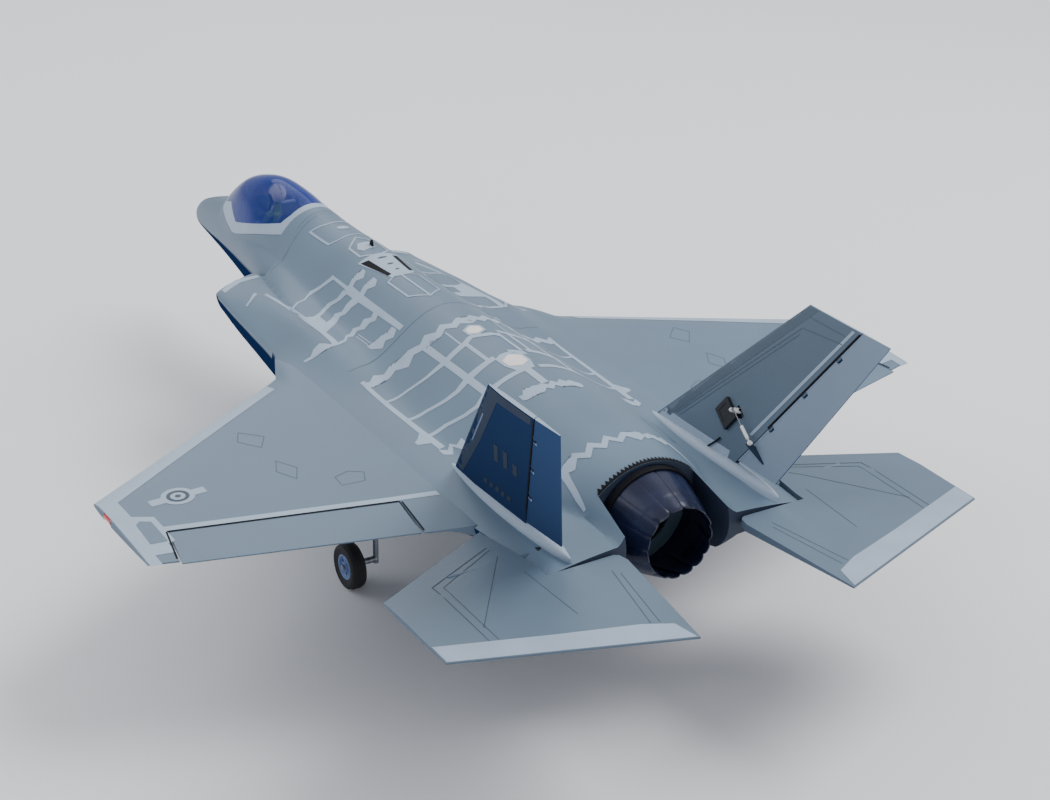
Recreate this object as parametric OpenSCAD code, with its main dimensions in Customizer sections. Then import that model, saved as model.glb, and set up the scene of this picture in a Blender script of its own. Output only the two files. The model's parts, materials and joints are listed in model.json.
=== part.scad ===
// Radio-controlled ducted-fan jet model, foam airframe, about 1:14.5 scale.
// Nose toward -Y, tail toward +Y, port side +X, ground at z = 0.

/* [Stance] */
// Height of the wing plane above the ground, wheels down
wing_z = 158; // [156:0.5:160]
// Height of the fan and nozzle axis above the ground
fan_z = 155; // [153:0.5:157]

/* [Wing] */
// Distance from the centre line to the wing tip
tip_x = 379; // [370:1:384]
// Wing root face distance from the centre line
root_x = 128.3; // [128.3:0.1:129]
// Radius of the rounded flaperon nose
flap_nose_r = 2.9; // [2.6:0.1:3]
// Radius of the flaperon torque rod
torque_rod_r = 1; // [0.8:0.1:1.2]

/* [Tail] */
// Outward lean of each fin from the vertical, degrees
fin_cant = 19.3; // [15:0.1:22]
// Fin height measured along the fin
fin_h = 154; // [150:1:158]
// Radius of the rudder hinge pins
rudder_pin_r = 0.8; // [0.6:0.1:1]
// Radius of the stabilator pivot tube
stab_tube_r = 3; // [2.5:0.1:3.2]
// Half thickness of the stabilator at its root
stab_half_t = 5.2; // [5:0.1:5.6]

/* [Nozzle and fan] */
// Outer radius of the nozzle where it leaves the body
nozzle_base_r = 46.8; // [46:0.1:46.9]
// Outer radius of the nozzle at its exit
nozzle_exit_r = 31.3; // [30:0.1:32]
// Bore radius of the fan housing
fan_bore_r = 33; // [32:0.1:33]
// Radial gap between the blade tips and the housing
fan_tip_gap = 0.4; // [0.3:0.05:0.8]
// Number of fan blades
fan_blades = 11; // [7:1:12]
// Number of nozzle petals
petals = 15; // [12:1:18]

/* [Landing gear] */
// Main tyre outer radius
main_tyre_r = 21.5; // [20:0.5:22]
// Main tyre width
main_tyre_w = 15; // [13:0.5:15]
// Nose tyre outer radius
nose_tyre_r = 18; // [16:0.5:18]
// Nose tyre width
nose_tyre_w = 11; // [9:0.5:11]
// Radius of the retract pivot pins
pivot_pin_r = 2; // [1.5:0.1:2.2]
// Radius of the wheel axles
axle_r = 1.5; // [1.2:0.1:1.8]

/* [Rudder linkage] */
// Servo arm and horn length from pivot to rod hole
arm_len = 9; // [8:0.5:10]
// Distance from the servo axis to the hinge line
rod_len = 36; // [34:0.5:38]
// Radius of the rod's bent ends
rod_r = 0.6; // [0.5:0.05:0.7]

/* [Fits] */
// Radial clearance of every running fit
run_fit = 0.05; // [0.03:0.01:0.08]
// Gap between a fixed insert and its foam pocket
pocket_gap = 0.15; // [0.1:0.05:0.3]

/* [Hidden] */
$fn = 48;
eps = 0.01;
nose_y = -536;
split_1 = 100;
split_2 = 312;
split_3 = 782;
body_end = 947;
lip_st = 276;
side_x = 128;
belly_flat = 71.5;
half_top = 14;
half_low = 10;

// Section keys: [distance aft of the nose tip, value], heights from the wing plane.
nose_form = [
  [[0, 2], [4, 5], [21, 10], [72, 19], [110, 26], [150, 33], [189, 40], [230, 48], [269, 55], [312, 60]],
  [[0, -31], [21, -33], [72, -28], [110, -22], [189, -12], [269, -2], [312, -1]],
  [[0, -31], [4, -22], [21, -10], [41, -1], [72, 10], [105, 19], [180, 25], [235, 28], [289, 32], [312, 33]],
  [[0, 2], [100, 2.4], [200, 3], [312, 3]],
  [[0, 0.5], [100, 0.5], [200, 0.42], [312, 0.42]],
  [[0, 0], [312, 0]],
  [[0, 50], [312, 50]],
  [[100, 0], [108, 4], [124, 18], [158, 37], [193, 47], [220, 50], [255, 47], [289, 41], [312, 38]],
  [[100, 22], [124, 27], [158, 33], [193, 37], [220, 39], [255, 40], [289, 42], [312, 46]],
  [[100, 0.65], [240, 0.65], [289, 0.9], [312, 1.1]],
  [[0, -33], [4, -37], [21, -39], [83, -42], [124, -45], [180, -51], [235, -58], [312, -65]],
  [[0, 2], [312, 2]],
  [[0, 0], [312, 0]],
  [[0, 50], [312, 50]],
  [[0, 0], [312, 0]]
];
body_form = [
  [[276, 109], [303, 111], [344, 115], [400, 119], [462, 125], [490, 137], [513, 148],
   [606, 146], [744, 137], [847, 131], [896, 126], [947, 121]],
  [[276, -1], [303, -2], [344, -3], [400, -3], [462, 0], [947, 0]],
  [[276, 7], [303, 11], [344, 19], [400, 25], [469, 26], [537, 26], [641, 23], [744, 21],
   [847, 17], [896, 15], [947, 8]],
  [[276, 2.4], [400, 2.2], [947, 2.2]],
  [[276, 0.6], [400, 0.7], [513, 0.9], [847, 0.8], [947, 0.7]],
  [[276, 25], [303, 22], [344, 15], [400, 8], [469, 3], [537, 0], [947, 0]],
  [[276, 57], [303, 61], [344, 72], [400, 83], [469, 90], [537, 96], [947, 96]],
  [[276, 44], [303, 39], [344, 34], [400, 36], [469, 37], [537, 39], [641, 39], [744, 38],
   [847, 33], [896, 31], [947, 18]],
  [[276, 41], [303, 45], [344, 52], [400, 59], [469, 69], [537, 79], [641, 92], [744, 94],
   [847, 78], [896, 59], [947, 55]],
  [[276, 0.9], [303, 1.1], [344, 1.3], [400, 1.5], [537, 1.8], [641, 1.8], [744, 1.6],
   [847, 1.2], [896, 0.85], [947, 0.8]],
  [[276, -60], [344, -68], [413, -72], [469, -73], [606, -73], [710, -66], [780, -56],
   [847, -36], [896, -22], [947, -16]],
  [[276, 1.8], [303, 1.9], [344, 2], [400, 2.2], [469, 2.6], [606, 2.6], [780, 2.4],
   [847, 2.2], [947, 2]],
  [[276, 0], [640, 0], [710, 3], [780, 10], [847, 20], [896, 31], [947, 31]],
  [[276, 50], [700, 55], [847, 58], [947, 56]],
  [[276, 0], [318, 0], [380, 4], [430, 7], [500, 8], [560, 4], [620, 0], [947, 0]]
];
nose_stations = [0, 4, 12, 24, 48, 74, 100];
cabin_stations = [100, 112, 124, 140, 158, 176, 196, 220, 244, 268, 289, 312];
centre_stations = [276, 303, 328, 356, 396, 436, 466, 490, 516, 560, 620, 690, 744, 782];
aft_stations = [782, 815, 847, 875, 896, 922, 947];

// Smooth curve through a list of [position, value] keys.
function key_slope(t, k) =
  k == 0 ? (t[1][1] - t[0][1]) / (t[1][0] - t[0][0])
  : k == len(t) - 1 ? (t[k][1] - t[k - 1][1]) / (t[k][0] - t[k - 1][0])
  : (t[k + 1][1] - t[k - 1][1]) / (t[k + 1][0] - t[k - 1][0]);
function key_span(t, x, k = 0) = k >= len(t) - 2 || x <= t[k + 1][0] ? k : key_span(t, x, k + 1);
function curve(t, x_raw) =
  let (
    x = min(max(x_raw, t[0][0]), t[len(t) - 1][0]),
    k = key_span(t, x),
    h = t[k + 1][0] - t[k][0],
    u = (x - t[k][0]) / h
  )
  (2 * pow(u, 3) - 3 * pow(u, 2) + 1) * t[k][1]
  + (pow(u, 3) - 2 * pow(u, 2) + u) * h * key_slope(t, k)
  + (3 * pow(u, 2) - 2 * pow(u, 3)) * t[k + 1][1]
  + (pow(u, 3) - pow(u, 2)) * h * key_slope(t, k + 1);
function dome(c, a, b) = abs(c) < 1 ? pow(1 - pow(abs(c), a), b) : 0;
function bell(x) = exp(-pow((abs(x) - 92) / 20, 2));
function top_z(f, st, x) =
  let (w = curve(f[0], st), zc = curve(f[1], st))
  zc + (curve(f[2], st) - zc) * dome(x / w, curve(f[3], st), curve(f[4], st))
  + curve(f[5], st) * dome(x / curve(f[6], st), 3, 0.5)
  + curve(f[7], st) * dome(x / curve(f[8], st), 2, curve(f[9], st))
  + curve(f[14], st) * bell(x);
function low_z(f, st, x) =
  let (w = curve(f[0], st), zc = curve(f[1], st), n = curve(f[11], st))
  zc - (zc - curve(f[10], st)) * dome(x / w, n, 1 / n)
  - curve(f[12], st) * dome(x / curve(f[13], st), 2, 0.7);
function ring(f, st, inset = 0) =
  let (w = curve(f[0], st), zc = curve(f[1], st), y = nose_y + st)
  concat(
    [for (i = [0:half_top])
      let (x = w * sin(90 - 180 * i / half_top), z = top_z(f, st, x))
      [x * (w - inset) / w, y, wing_z + max(zc, z - inset)]],
    [for (i = [1:half_low - 1])
      let (x = -w * sin(90 - 180 * i / half_low), z = low_z(f, st, x))
      [x * (w - inset) / w, y, wing_z + min(zc - eps, z + inset)]]
  );

// Solid skinned over a list of equal rings, each end closed around its centre.
module skin(rings) {
  n = len(rings[0]);
  m = len(rings);
  mid_a = [for (k = [0:2]) min([for (p = rings[0]) p[k]]) / 2 + max([for (p = rings[0]) p[k]]) / 2];
  mid_b = [for (k = [0:2])
    min([for (p = rings[m - 1]) p[k]]) / 2 + max([for (p = rings[m - 1]) p[k]]) / 2];
  pts = concat([for (r = rings) each r], [mid_a, mid_b]);
  sides = [for (i = [0:m - 2], j = [0:n - 1])
    let (a = i * n + j, b = i * n + (j + 1) % n, c = a + n, d = b + n)
    each [[a, b, d], [a, d, c]]];
  start = [for (j = [0:n - 1]) [m * n, (j + 1) % n, j]];
  finish = [for (j = [0:n - 1]) [m * n + 1, (m - 1) * n + j, (m - 1) * n + (j + 1) % n]];
  polyhedron(points = pts, faces = concat(sides, start, finish), convexity = 8);
}

module loft(f, stations, inset = 0) skin([for (s = stations) ring(f, s, inset)]);

// Upright prism drawn in side view: [station, height above the wing plane].
module side_prism(outline, half_w = 90) {
  translate([half_w, nose_y, wing_z])
    rotate([90, 0, -90])
      mirror([1, 0, 0])
        linear_extrude(2 * half_w)
          polygon(outline);
}

// Eight small overlapping hulls: a rounded relief used inside foam pockets.
module relief(x, y, z, lx, ly, lz) {
  for (i = [0:7])
    hull() {
      translate([x - lx / 2, y - ly / 2 + i * ly / 8, z - lz / 2])
        cube([lx, ly / 8 + eps, lz]);
    }
}

module both_sides() {
  children();
  mirror([1, 0, 0])
    children();
}

/* ---------- shared frames ---------- */
// Fin frame: X across the fin (+ outboard), Y aft, Z up along the fin.
fin_x = 100.6;
fin_base_z = 9;
fin_root = [223.7, 0];
fin_tip = [363.6, 154];
hinge_y0 = 342;
hinge_sweep = 30.6;
module fin_frame(side) {
  scale_x = side > 0 ? 0 : 1;
  mirror([scale_x, 0, 0])
    translate([fin_x, 0, wing_z + fin_base_z])
      rotate([0, fin_cant, 0])
        children();
}
// Rudder hinge frame: Z along the hinge, Y square to it toward the tail.
module hinge_frame() {
  translate([0, hinge_y0, 0])
    rotate([-hinge_sweep, 0, 0])
      children();
}
hinge_len = fin_h / cos(hinge_sweep);
link_z = 31.4;
servo_off = -2;

// Flaperon hinge frame: Z along the hinge outward, Y aft, X down.
flap_in = [164.7, 243];
flap_out = [345, 193.4];
flap_len = norm(flap_out - flap_in);
flap_ang = atan2(flap_in[1] - flap_out[1], flap_out[0] - flap_in[0]);
module flap_frame(side) {
  scale_x = side > 0 ? 0 : 1;
  mirror([scale_x, 0, 0])
    translate([flap_in[0], flap_in[1], wing_z])
      rotate([0, 0, -flap_ang])
        rotate([0, 90, 0])
          children();
}

// Main gear frame: Z up from the retract pivot, Y along the swing direction.
main_pivot = [112, 99, -28];
main_swing = 24.8;
main_axle_x = 138;
module main_frame(side) {
  scale_x = side > 0 ? 0 : 1;
  mirror([scale_x, 0, 0])
    translate([main_pivot[0], main_pivot[1], wing_z + main_pivot[2]])
      rotate([0, 0, main_swing])
        children();
}
module main_axle_frame(side) {
  scale_x = side > 0 ? 0 : 1;
  mirror([scale_x, 0, 0])
    translate([main_axle_x, main_pivot[1], main_tyre_r])
      rotate([0, 90, 0])
        children();
}
nose_pivot = [0, -281, 112];
stab_y = 370;

/* ---------- canopy outlines, side view ---------- */
hatch_line = [[104, 17], [140, 10], [168, 6.5], [180, 9], [237, 28.5], [290, 44.5], [296, 62], [303, 74]];
glass_line = [[109, 20], [146, 32], [177, 21], [239, 40], [280, 53], [288, 63], [293, 76]];
module above(line, lift = 0, trim = 0) {
  n = len(line);
  side_prism(concat(
    [for (i = [0:n - 1]) [line[i][0] + (i == 0 ? trim : i == n - 1 ? -trim : 0), line[i][1] + lift]],
    [[line[n - 1][0] - trim, 130], [line[0][0] + trim, 130]]
  ));
}

/* ---------- foam fuselage ---------- */
module nose_cone() {
  color("#8e9dab")
    difference() {
      loft(nose_form, [for (s = nose_stations) s == split_1 ? split_1 - 0.2 : s]);
      translate([0, nose_y + 60, wing_z - 14])
        relief(0, 0, 0, 14, 60, 18);
    }
}

module nose_well() {
  translate([-20, nose_pivot[1] - 118, 60])
    cube([40, 132, 84.5]);
}

module forward_fuselage() {
  color("#74869a")
    difference() {
      loft(nose_form, concat(
        [for (s = cabin_stations) if (s < split_2) s], [split_2 - 0.2]));
      above(hatch_line);
      relief(0, nose_y + 197, wing_z + 16, 50, 118, 48);
      nose_well();
      translate([-22, -258, 97])
        cube([44, 60, 38]);
      translate([-15, -296, 117])
        cube([30, 28, 31]);
    }
}

// Centre line of one intake leg: [x, y, z from wing plane, half width, half height].
duct_route = [
  [77, -262, -17, 15, 14], [77, -236, -17.5, 16, 15], [75, -200, -19, 19, 17.5], [70, -160, -20, 21, 20],
  [60, -120, -18, 23, 23], [46, -85, -14, 25, 25], [32, -54, -10, 27, 27], [18, -28, -6, 30, 30],
  [7, -4, -3.5, 32, 32], [0, 12, -3, 33, 33], [0, 23.5, -3, 33, 33]
];
function duct_corner(k) = k == 0 ? 3 : k == 1 ? 2.8 : k == 2 ? 2.5 : 2;
module duct_slice(k, grow) {
  p = duct_route[k];
  n = duct_corner(k);
  translate([p[0], p[1], wing_z + p[2]])
    rotate([90, 0, 0])
      linear_extrude(0.3)
        polygon([for (a = [0:18:342])
          let (c = cos(a), s = sin(a), r = pow(pow(abs(c), n) + pow(abs(s), n), -1 / n))
          [(p[3] + grow) * r * c, (p[4] + grow) * r * s]]);
}
module duct_leg(grow, first = 0) {
  for (k = [first:len(duct_route) - 2])
    hull() {
      duct_slice(k, grow);
      duct_slice(k + 1, grow);
    }
}
module lip_cut() {
  // Swept and raked intake lips.
  both_sides()
    hull() {
      translate([58, nose_y + lip_st - 8, wing_z + 40])
        cube([1, 8, 1]);
      translate([112, nose_y + lip_st - 8, wing_z + 40])
        cube([1, 22, 1]);
      translate([58, nose_y + lip_st - 8, wing_z - 80])
        cube([1, 26, 1]);
      translate([112, nose_y + lip_st - 8, wing_z - 80])
        cube([1, 44, 1]);
    }
}

module main_well() {
  // Leg slot and wheel bay of the left side.
  main_frame(1) {
    translate([-12, -13, -90])
      cube([22, 90, 91 + 28]);
    translate([5, 60, -90])
      cube([37, 74, 90 + 29.5]);
    translate([-8, 70, -90])
      cube([16, 48, 110]);
    hull() {
      translate([5, 30, -90])
        cube([8, 40, 60]);
      translate([5, 60, -90])
        cube([34, 10, 60]);
    }
  }
}

module centre_fuselage() {
  color("#74869a")
    intersection() {
      difference() {
        loft(body_form, [for (s = centre_stations) s == split_3 ? split_3 - 0.1 : s]);
        translate([-61, nose_y + lip_st - 10, wing_z - 100])
          cube([122, split_2 - lip_st + 10, 220]);
        lip_cut();
        both_sides()
          duct_leg(1.2 + pocket_gap);
        translate([0, 23, fan_z])
          rotate([-90, 0, 0])
            cylinder(h = 45, r = 35 + pocket_gap);
        translate([0, 67, fan_z])
          rotate([-90, 0, 0])
            cylinder(h = 282, r1 = 34.2 + pocket_gap, r2 = 32.2 + pocket_gap);
        both_sides() {
          main_well();
          fin_slot();
        }
        translate([-22, -230, 97])
          cube([44, 88, 38]);
        translate([-14, -143, 88.5])
          cube([28, 62, 14]);
        translate([-0.7 - 4, nose_y + 409.8, wing_z + 58])
          cube([1.4, 8.4, 20]);
      }
      translate([-side_x, nose_y, wing_z - belly_flat])
        cube([2 * side_x, 2000, 400]);
    }
}

module antenna() {
  color("#16181b")
    translate([-4, 0, 0])
      rotate([90, 0, 90])
        translate([nose_y + 410, wing_z + 58.4, -0.6])
          linear_extrude(1.2)
            polygon([[0, 0], [8, 0], [8, 9], [6.5, 16], [3.5, 16], [0, 9]]);
}

module fin_foot(grow = 0) {
  translate([-2.4 - grow, 283 - grow, -8 - grow])
    cube([4.8 + 2 * grow, 52 + 2 * grow, 8.4 + grow]);
}

// Slot in the deck for the fin root, hidden under the root fairing.
module fin_slot() {
  fin_frame(1)
    translate([0, 0, -3])
      linear_extrude(20)
        polygon([[0, 222.5], [1.6, 229], [3.2, 262], [3.2, 351], [-3.2, 351], [-3.2, 262], [-1.6, 229]]);
}

module flap_servo_bay() {
  flap_frame(1)
    translate([-5.3, -7.3, -76.3])
      cube([15.6, 25.6, 34.3]);
}

module stab_bay() {
  translate([61.7, stab_y - 18.3, wing_z - 8.3])
    cube([49.6, 31.6, 15.6]);
}

module aft_fuselage() {
  color("#74869a")
    difference() {
      intersection() {
        loft(body_form, [for (s = aft_stations) s == split_3 ? split_3 + 0.1 : s]);
        translate([-140, 0, 0])
          cube([280, stab_y, 400]);
      }
      rear_cuts();
    }
  color("#74869a")
    difference() {
      intersection() {
        loft(body_form, [875, 896, 922, 947]);
        translate([-150, stab_y, wing_z])
          rotate([0, 90, 0])
            cylinder(h = 300, r = 35);
        translate([-140, stab_y - eps, 0])
          cube([280, 80, 400]);
      }
      rear_cuts();
    }
}
module rear_cuts() {
  translate([0, 60, fan_z])
    rotate([-90, 0, 0])
      cylinder(h = 290, r1 = 34.3 + pocket_gap, r2 = 32.2 + pocket_gap);
  translate([0, 348.8, fan_z])
    rotate([-90, 0, 0])
      cylinder(h = 80, r = nozzle_base_r + 0.4);
  translate([0, 0, wing_z - 100])
    linear_extrude(220)
      polygon([[-46, 358], [46, 358], [55, 415], [-55, 415]]);
  translate([side_x, 200, 0])
    cube([40, 109, 400]);
  translate([-side_x - 40, 200, 0])
    cube([40, 109, 400]);
  both_sides() {
    fin_frame(1)
      fin_foot(pocket_gap);
    fin_slot();
    flap_servo_bay();
    flap_frame(1)
      translate([0, 0, -60])
        cylinder(h = 40, r = 1.8);
    stab_bay();
    translate([100, stab_y, wing_z])
      rotate([0, 90, 0])
        cylinder(h = 60, r = stab_tube_r + 0.6);
    lead_hole();
    relief(80, 258, wing_z - 12, 20, 8, 8);
  }
}

/* ---------- cockpit ---------- */
module cockpit_tub() {
  color("#3c4650")
    difference() {
      union() {
        translate([-24.5, nose_y + 139, wing_z - 7.8])
          cube([49, 116, 12.6]);
        translate([-22, nose_y + 141, wing_z + 4])
          cube([44, 18, 7]);
        translate([-20, nose_y + 243, wing_z + 4])
          cube([40, 12, 18]);
      }
      translate([-14, nose_y + 160, wing_z - 6])
        cube([28, 83, 30]);
      translate([-21, nose_y + 160, wing_z + 1])
        cube([42, 83, 30]);
    }
}
module ejection_seat() {
  color("#56697d")
    difference() {
      union() {
        translate([-12, nose_y + 198, wing_z - 6])
          cube([24, 30, 10]);
        translate([0, nose_y + 224, wing_z - 4.6])
          rotate([-14, 0, 0])
            translate([-12.5, 0, 0])
              cube([25, 5, 51]);
        translate([0, nose_y + 224, wing_z - 4.6])
          rotate([-14, 0, 0])
            translate([-8, -2.5, 49])
              cube([16, 8, 15]);
      }
      translate([-10, nose_y + 199, wing_z + 1])
        cube([20, 24.5, 10]);
    }
}
module oval(p, r) {
  translate(p)
    scale([r[0], r[1], r[2]])
      sphere(r = 1, $fn = 14);
}
module pilot_body() {
  color("#3f5f37")
    translate([0, nose_y, wing_z]) {
      hull() {
        oval([0, 215, 8], [9.4, 6, 6]);
        oval([0, 217, 36], [12, 6, 6]);
      }
      for (s = [-1, 1]) {
        hull() {
          oval([s * 11, 216, 38], [4.5, 4.5, 5]);
          oval([s * 13, 204, 20], [3.5, 3.5, 4]);
        }
        hull() {
          oval([s * 13, 204, 20], [3.5, 3.5, 3.5]);
          oval([s * 8, 190, 17], [2.6, 3, 2.6]);
        }
        hull() {
          oval([s * 5, 212, 7], [4.5, 5, 4]);
          oval([s * 6, 184, 8], [4, 4, 4]);
        }
        hull() {
          oval([s * 6, 184, 8], [4, 4, 4]);
          oval([s * 6, 178, -2], [3.2, 3.2, 3.2]);
        }
      }
      hull() {
        oval([0, 216, 38], [4, 4, 4]);
        oval([0, 214, 45], [3.6, 3.6, 4]);
      }
    }
}
module pilot_head() {
  color("#c9a48a")
    translate([0, nose_y + 211, wing_z + 57])
      difference() {
        scale([6.6, 7.4, 8.4])
          sphere(r = 1, $fn = 24);
        translate([-10, -10, -20])
          cube([20, 20, 12.3]);
      }
}
module pilot_helmet() {
  color("#c8c4d6")
    translate([0, nose_y + 212, wing_z + 58])
      difference() {
        scale([9.6, 10.4, 10.2])
          sphere(r = 1, $fn = 32);
        translate([0, -1, -1])
          scale([6.8, 7.6, 8.6])
            sphere(r = 1, $fn = 24);
        translate([-12, -16, -14])
          cube([24, 12, 17]);
        translate([-12, -14, -16])
          cube([24, 30, 8]);
      }
}
module pilot_visor() {
  color("#101114")
    translate([0, nose_y + 211, wing_z + 57]) {
      difference() {
        scale([8.6, 9.6, 9])
          sphere(r = 1, $fn = 24);
        scale([6.8, 7.7, 8.7])
          sphere(r = 1, $fn = 24);
        translate([-12, -3.2, -12])
          cube([24, 20, 24]);
        translate([-12, -12, 3])
          cube([24, 20, 12]);
        translate([-12, -12, -14])
          cube([24, 20, 8]);
      }
      translate([0, -9, -3.6])
        rotate([68, 0, 0])
          cylinder(h = 4.6, r1 = 3.4, r2 = 2.4, $fn = 20);
    }
}
module canopy_shell(inset_a, inset_b) {
  difference() {
    loft(nose_form, [for (s = cabin_stations) if (s >= split_1) s], inset_a);
    difference() {
      loft(nose_form, [for (s = cabin_stations) s == 100 ? 103 : s == 112 ? 112 : s], inset_b);
      translate([-100, nose_y + 299, 0])
        cube([200, 40, 400]);
    }
  }
}
module canopy_glass() {
  color("#2b4a8f", 0.6)
    intersection() {
      canopy_shell(0, 1.5);
      above(glass_line, 0.05, 0.05);
    }
}
module canopy_frame() {
  color("#a5b2c2")
    intersection() {
      difference() {
        canopy_shell(0, 3);
        above(glass_line);
      }
      above(hatch_line, 0.35, 0.35);
    }
}

/* ---------- wing ---------- */
// Wing section keys: [chord fraction, root half thickness, tip half thickness].
wing_keys = [[0.02, 2.6, 0.8], [0.12, 8.5, 2.6], [0.35, 7.3, 3.2], [0.64, 5, 2.4], [0.88, 2.6, 1.3],
  [1, 0.8, 0.6]];
function wing_le(x) = x <= 148 ? -66 + (x - root_x) * 43 / (148 - root_x) : -23 + (x - 148) * 0.619;
function wing_te(x) = 308.5 - (x - root_x) * 0.297;
function wing_t(i, x) = let (u = (x - root_x) / (tip_x - root_x)) wing_keys[i][1] * (1 - u) + wing_keys[i][2] * u;
function wing_ring(x) =
  let (a = wing_le(x), c = wing_te(x) - a, n = len(wing_keys))
  concat(
    [[x, a, wing_z]],
    [for (i = [0:n - 1]) [x, a + c * wing_keys[i][0], wing_z + wing_t(i, x)]],
    [for (i = [n - 1:-1:0]) [x, a + c * wing_keys[i][0], wing_z - wing_t(i, x)]]
  );
module wing(side) {
  color("#74869a")
    mirror([side > 0 ? 0 : 1, 0, 0]) {
      difference() {
        skin([for (x = [root_x, 148, 210, 290, tip_x]) wing_ring(x)]);
        translate([0, 0, wing_z - 20])
          linear_extrude(40)
            polygon([[163.6, 243.3], [346.1, 193.1], [357.6, 252], [171.6, 310]]);
        flap_frame(1)
          translate([0, 0, -1])
            cylinder(h = flap_len + 2, r = flap_nose_r + 0.5);
        flap_frame(1)
          translate([0, 0, -44])
            cylinder(h = 50, r = torque_rod_r + 0.6);
        translate([tip_x - 2.5, 143, wing_z - 10])
          cube([10, 14, 20]);
      }
      for (z = [38, 93, 148])
        flap_frame(1)
          difference() {
            union() {
              translate([0, 0, z])
                cylinder(h = 5, r = 2.2);
              translate([-1.6, -4.4, z])
                cube([3.2, 4.4, 5]);
            }
            translate([0, 0, z - 1])
              cylinder(h = 7, r = torque_rod_r + run_fit);
          }
    }
}
module wing_left() wing(1);
module wing_right() wing(-1);

module nav_light(side, tint) {
  color(tint)
    mirror([side > 0 ? 0 : 1, 0, 0])
      intersection() {
        translate([tip_x - 2.4, 143.2, wing_z])
          rotate([-90, 0, 0])
            cylinder(h = 13.6, r = 3);
        translate([tip_x - 2.4, 143, wing_z - 4])
          cube([6, 14, 8]);
      }
}
module nav_light_left() nav_light(1, "#d01818");
module nav_light_right() nav_light(-1, "#18b848");

function flap_ring(x, y0, y1, t0, t1) = [[x[0], y0, wing_z + t0], [x[1], y1, wing_z + t1],
  [x[1], y1, wing_z - t1], [x[0], y0, wing_z - t0]];
module flaperon(side) {
  color("#74869a")
    difference() {
      union() {
        mirror([side > 0 ? 0 : 1, 0, 0])
          skin([
            flap_ring([165, 172], 243.6, 295.2, 2.9, 0.6),
            flap_ring([345.1, 355], 193.9, 245.2, 2.7, 0.5)
          ]);
        flap_frame(side)
          translate([0, 0, 1])
            cylinder(h = flap_len - 2, r1 = flap_nose_r, r2 = flap_nose_r - 0.2);
      }
      for (z = [38, 93, 148])
        flap_frame(side)
          translate([-6, -6, z - 0.6])
            cube([12, 9, 6.2]);
    }
  color("#1a1a1c")
    flap_frame(side)
      translate([0, 0, -58])
        cylinder(h = flap_len + 56, r = torque_rod_r);
}
module flaperon_left() flaperon(1);
module flaperon_right() flaperon(-1);

module flaperon_servo(side) {
  color("#1b1d20")
    flap_frame(side)
      difference() {
        union() {
          translate([-5, -6, -76])
            cube([12, 23, 17]);
          translate([0, 0, -60])
            cylinder(h = 7, r = 4);
        }
        translate([0, 0, -62])
          cylinder(h = 12, r = torque_rod_r + run_fit);
      }
}
module flaperon_servo_left() flaperon_servo(1);
module flaperon_servo_right() flaperon_servo(-1);

/* ---------- fins and rudders ---------- */
// Fin section keys: [fraction of the fixed chord, root half, tip half].
fin_keys = [[0.03, 1, 0.6], [0.3, 3, 1.7], [0.7, 2.9, 1.8], [1, 2.4, 1.6]];
function fin_ring(h, y0, y1) =
  let (u = h / fin_h, n = len(fin_keys))
  concat(
    [[0, y0, h]],
    [for (i = [0:n - 1]) [-fin_keys[i][1] * (1 - u) - fin_keys[i][2] * u,
      y0 + (y1 - y0) * fin_keys[i][0], h]],
    [for (i = [n - 1:-1:0]) [fin_keys[i][1] * (1 - u) + fin_keys[i][2] * u,
      y0 + (y1 - y0) * fin_keys[i][0], h]]
  );
module hinge_lug(z) {
  translate([0, 0, z]) {
    cylinder(h = 5, r = 1.7);
    translate([-1.3, -4, 0])
      cube([2.6, 4, 5]);
  }
}
lug_z = [52, 98, 144];
module servo_pocket(grow) {
  hinge_frame()
    translate([servo_off - 4 - grow, -rod_len - 17 - grow, link_z - 20 - grow])
      cube([8 + 2 * grow, 22 + 2 * grow, 17 + 2 * grow]);
}
module fin(side) {
  color("#74869a")
    fin_frame(side) {
      difference() {
        union() {
          skin([fin_ring(0, fin_root[0], hinge_y0), fin_ring(fin_h, fin_tip[0], 433)]);
          fin_foot();
        }
        hinge_frame()
          translate([0, 0, -4])
            cylinder(h = hinge_len + 10, r1 = 3, r2 = 2.2);
        translate([-20, 0, 0])
          servo_pocket(pocket_gap + 10);
        servo_pocket(pocket_gap);
        hinge_frame()
          translate([servo_off - 8, -rod_len - 4, link_z - 3.4])
            cube([11.2, 12, 6.4]);
      }
      hinge_frame()
        difference() {
          for (z = lug_z)
            hinge_lug(z);
          cylinder(h = 200, r = rudder_pin_r);
        }
    }
}
module fin_left() fin(1);
module fin_right() fin(-1);

module rudder_hinge_pins() {
  color("#c9cdd2")
    for (side = [-1, 1])
      fin_frame(side)
        hinge_frame()
          translate([0, 0, 16])
            cylinder(h = 140, r = rudder_pin_r);
}

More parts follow.
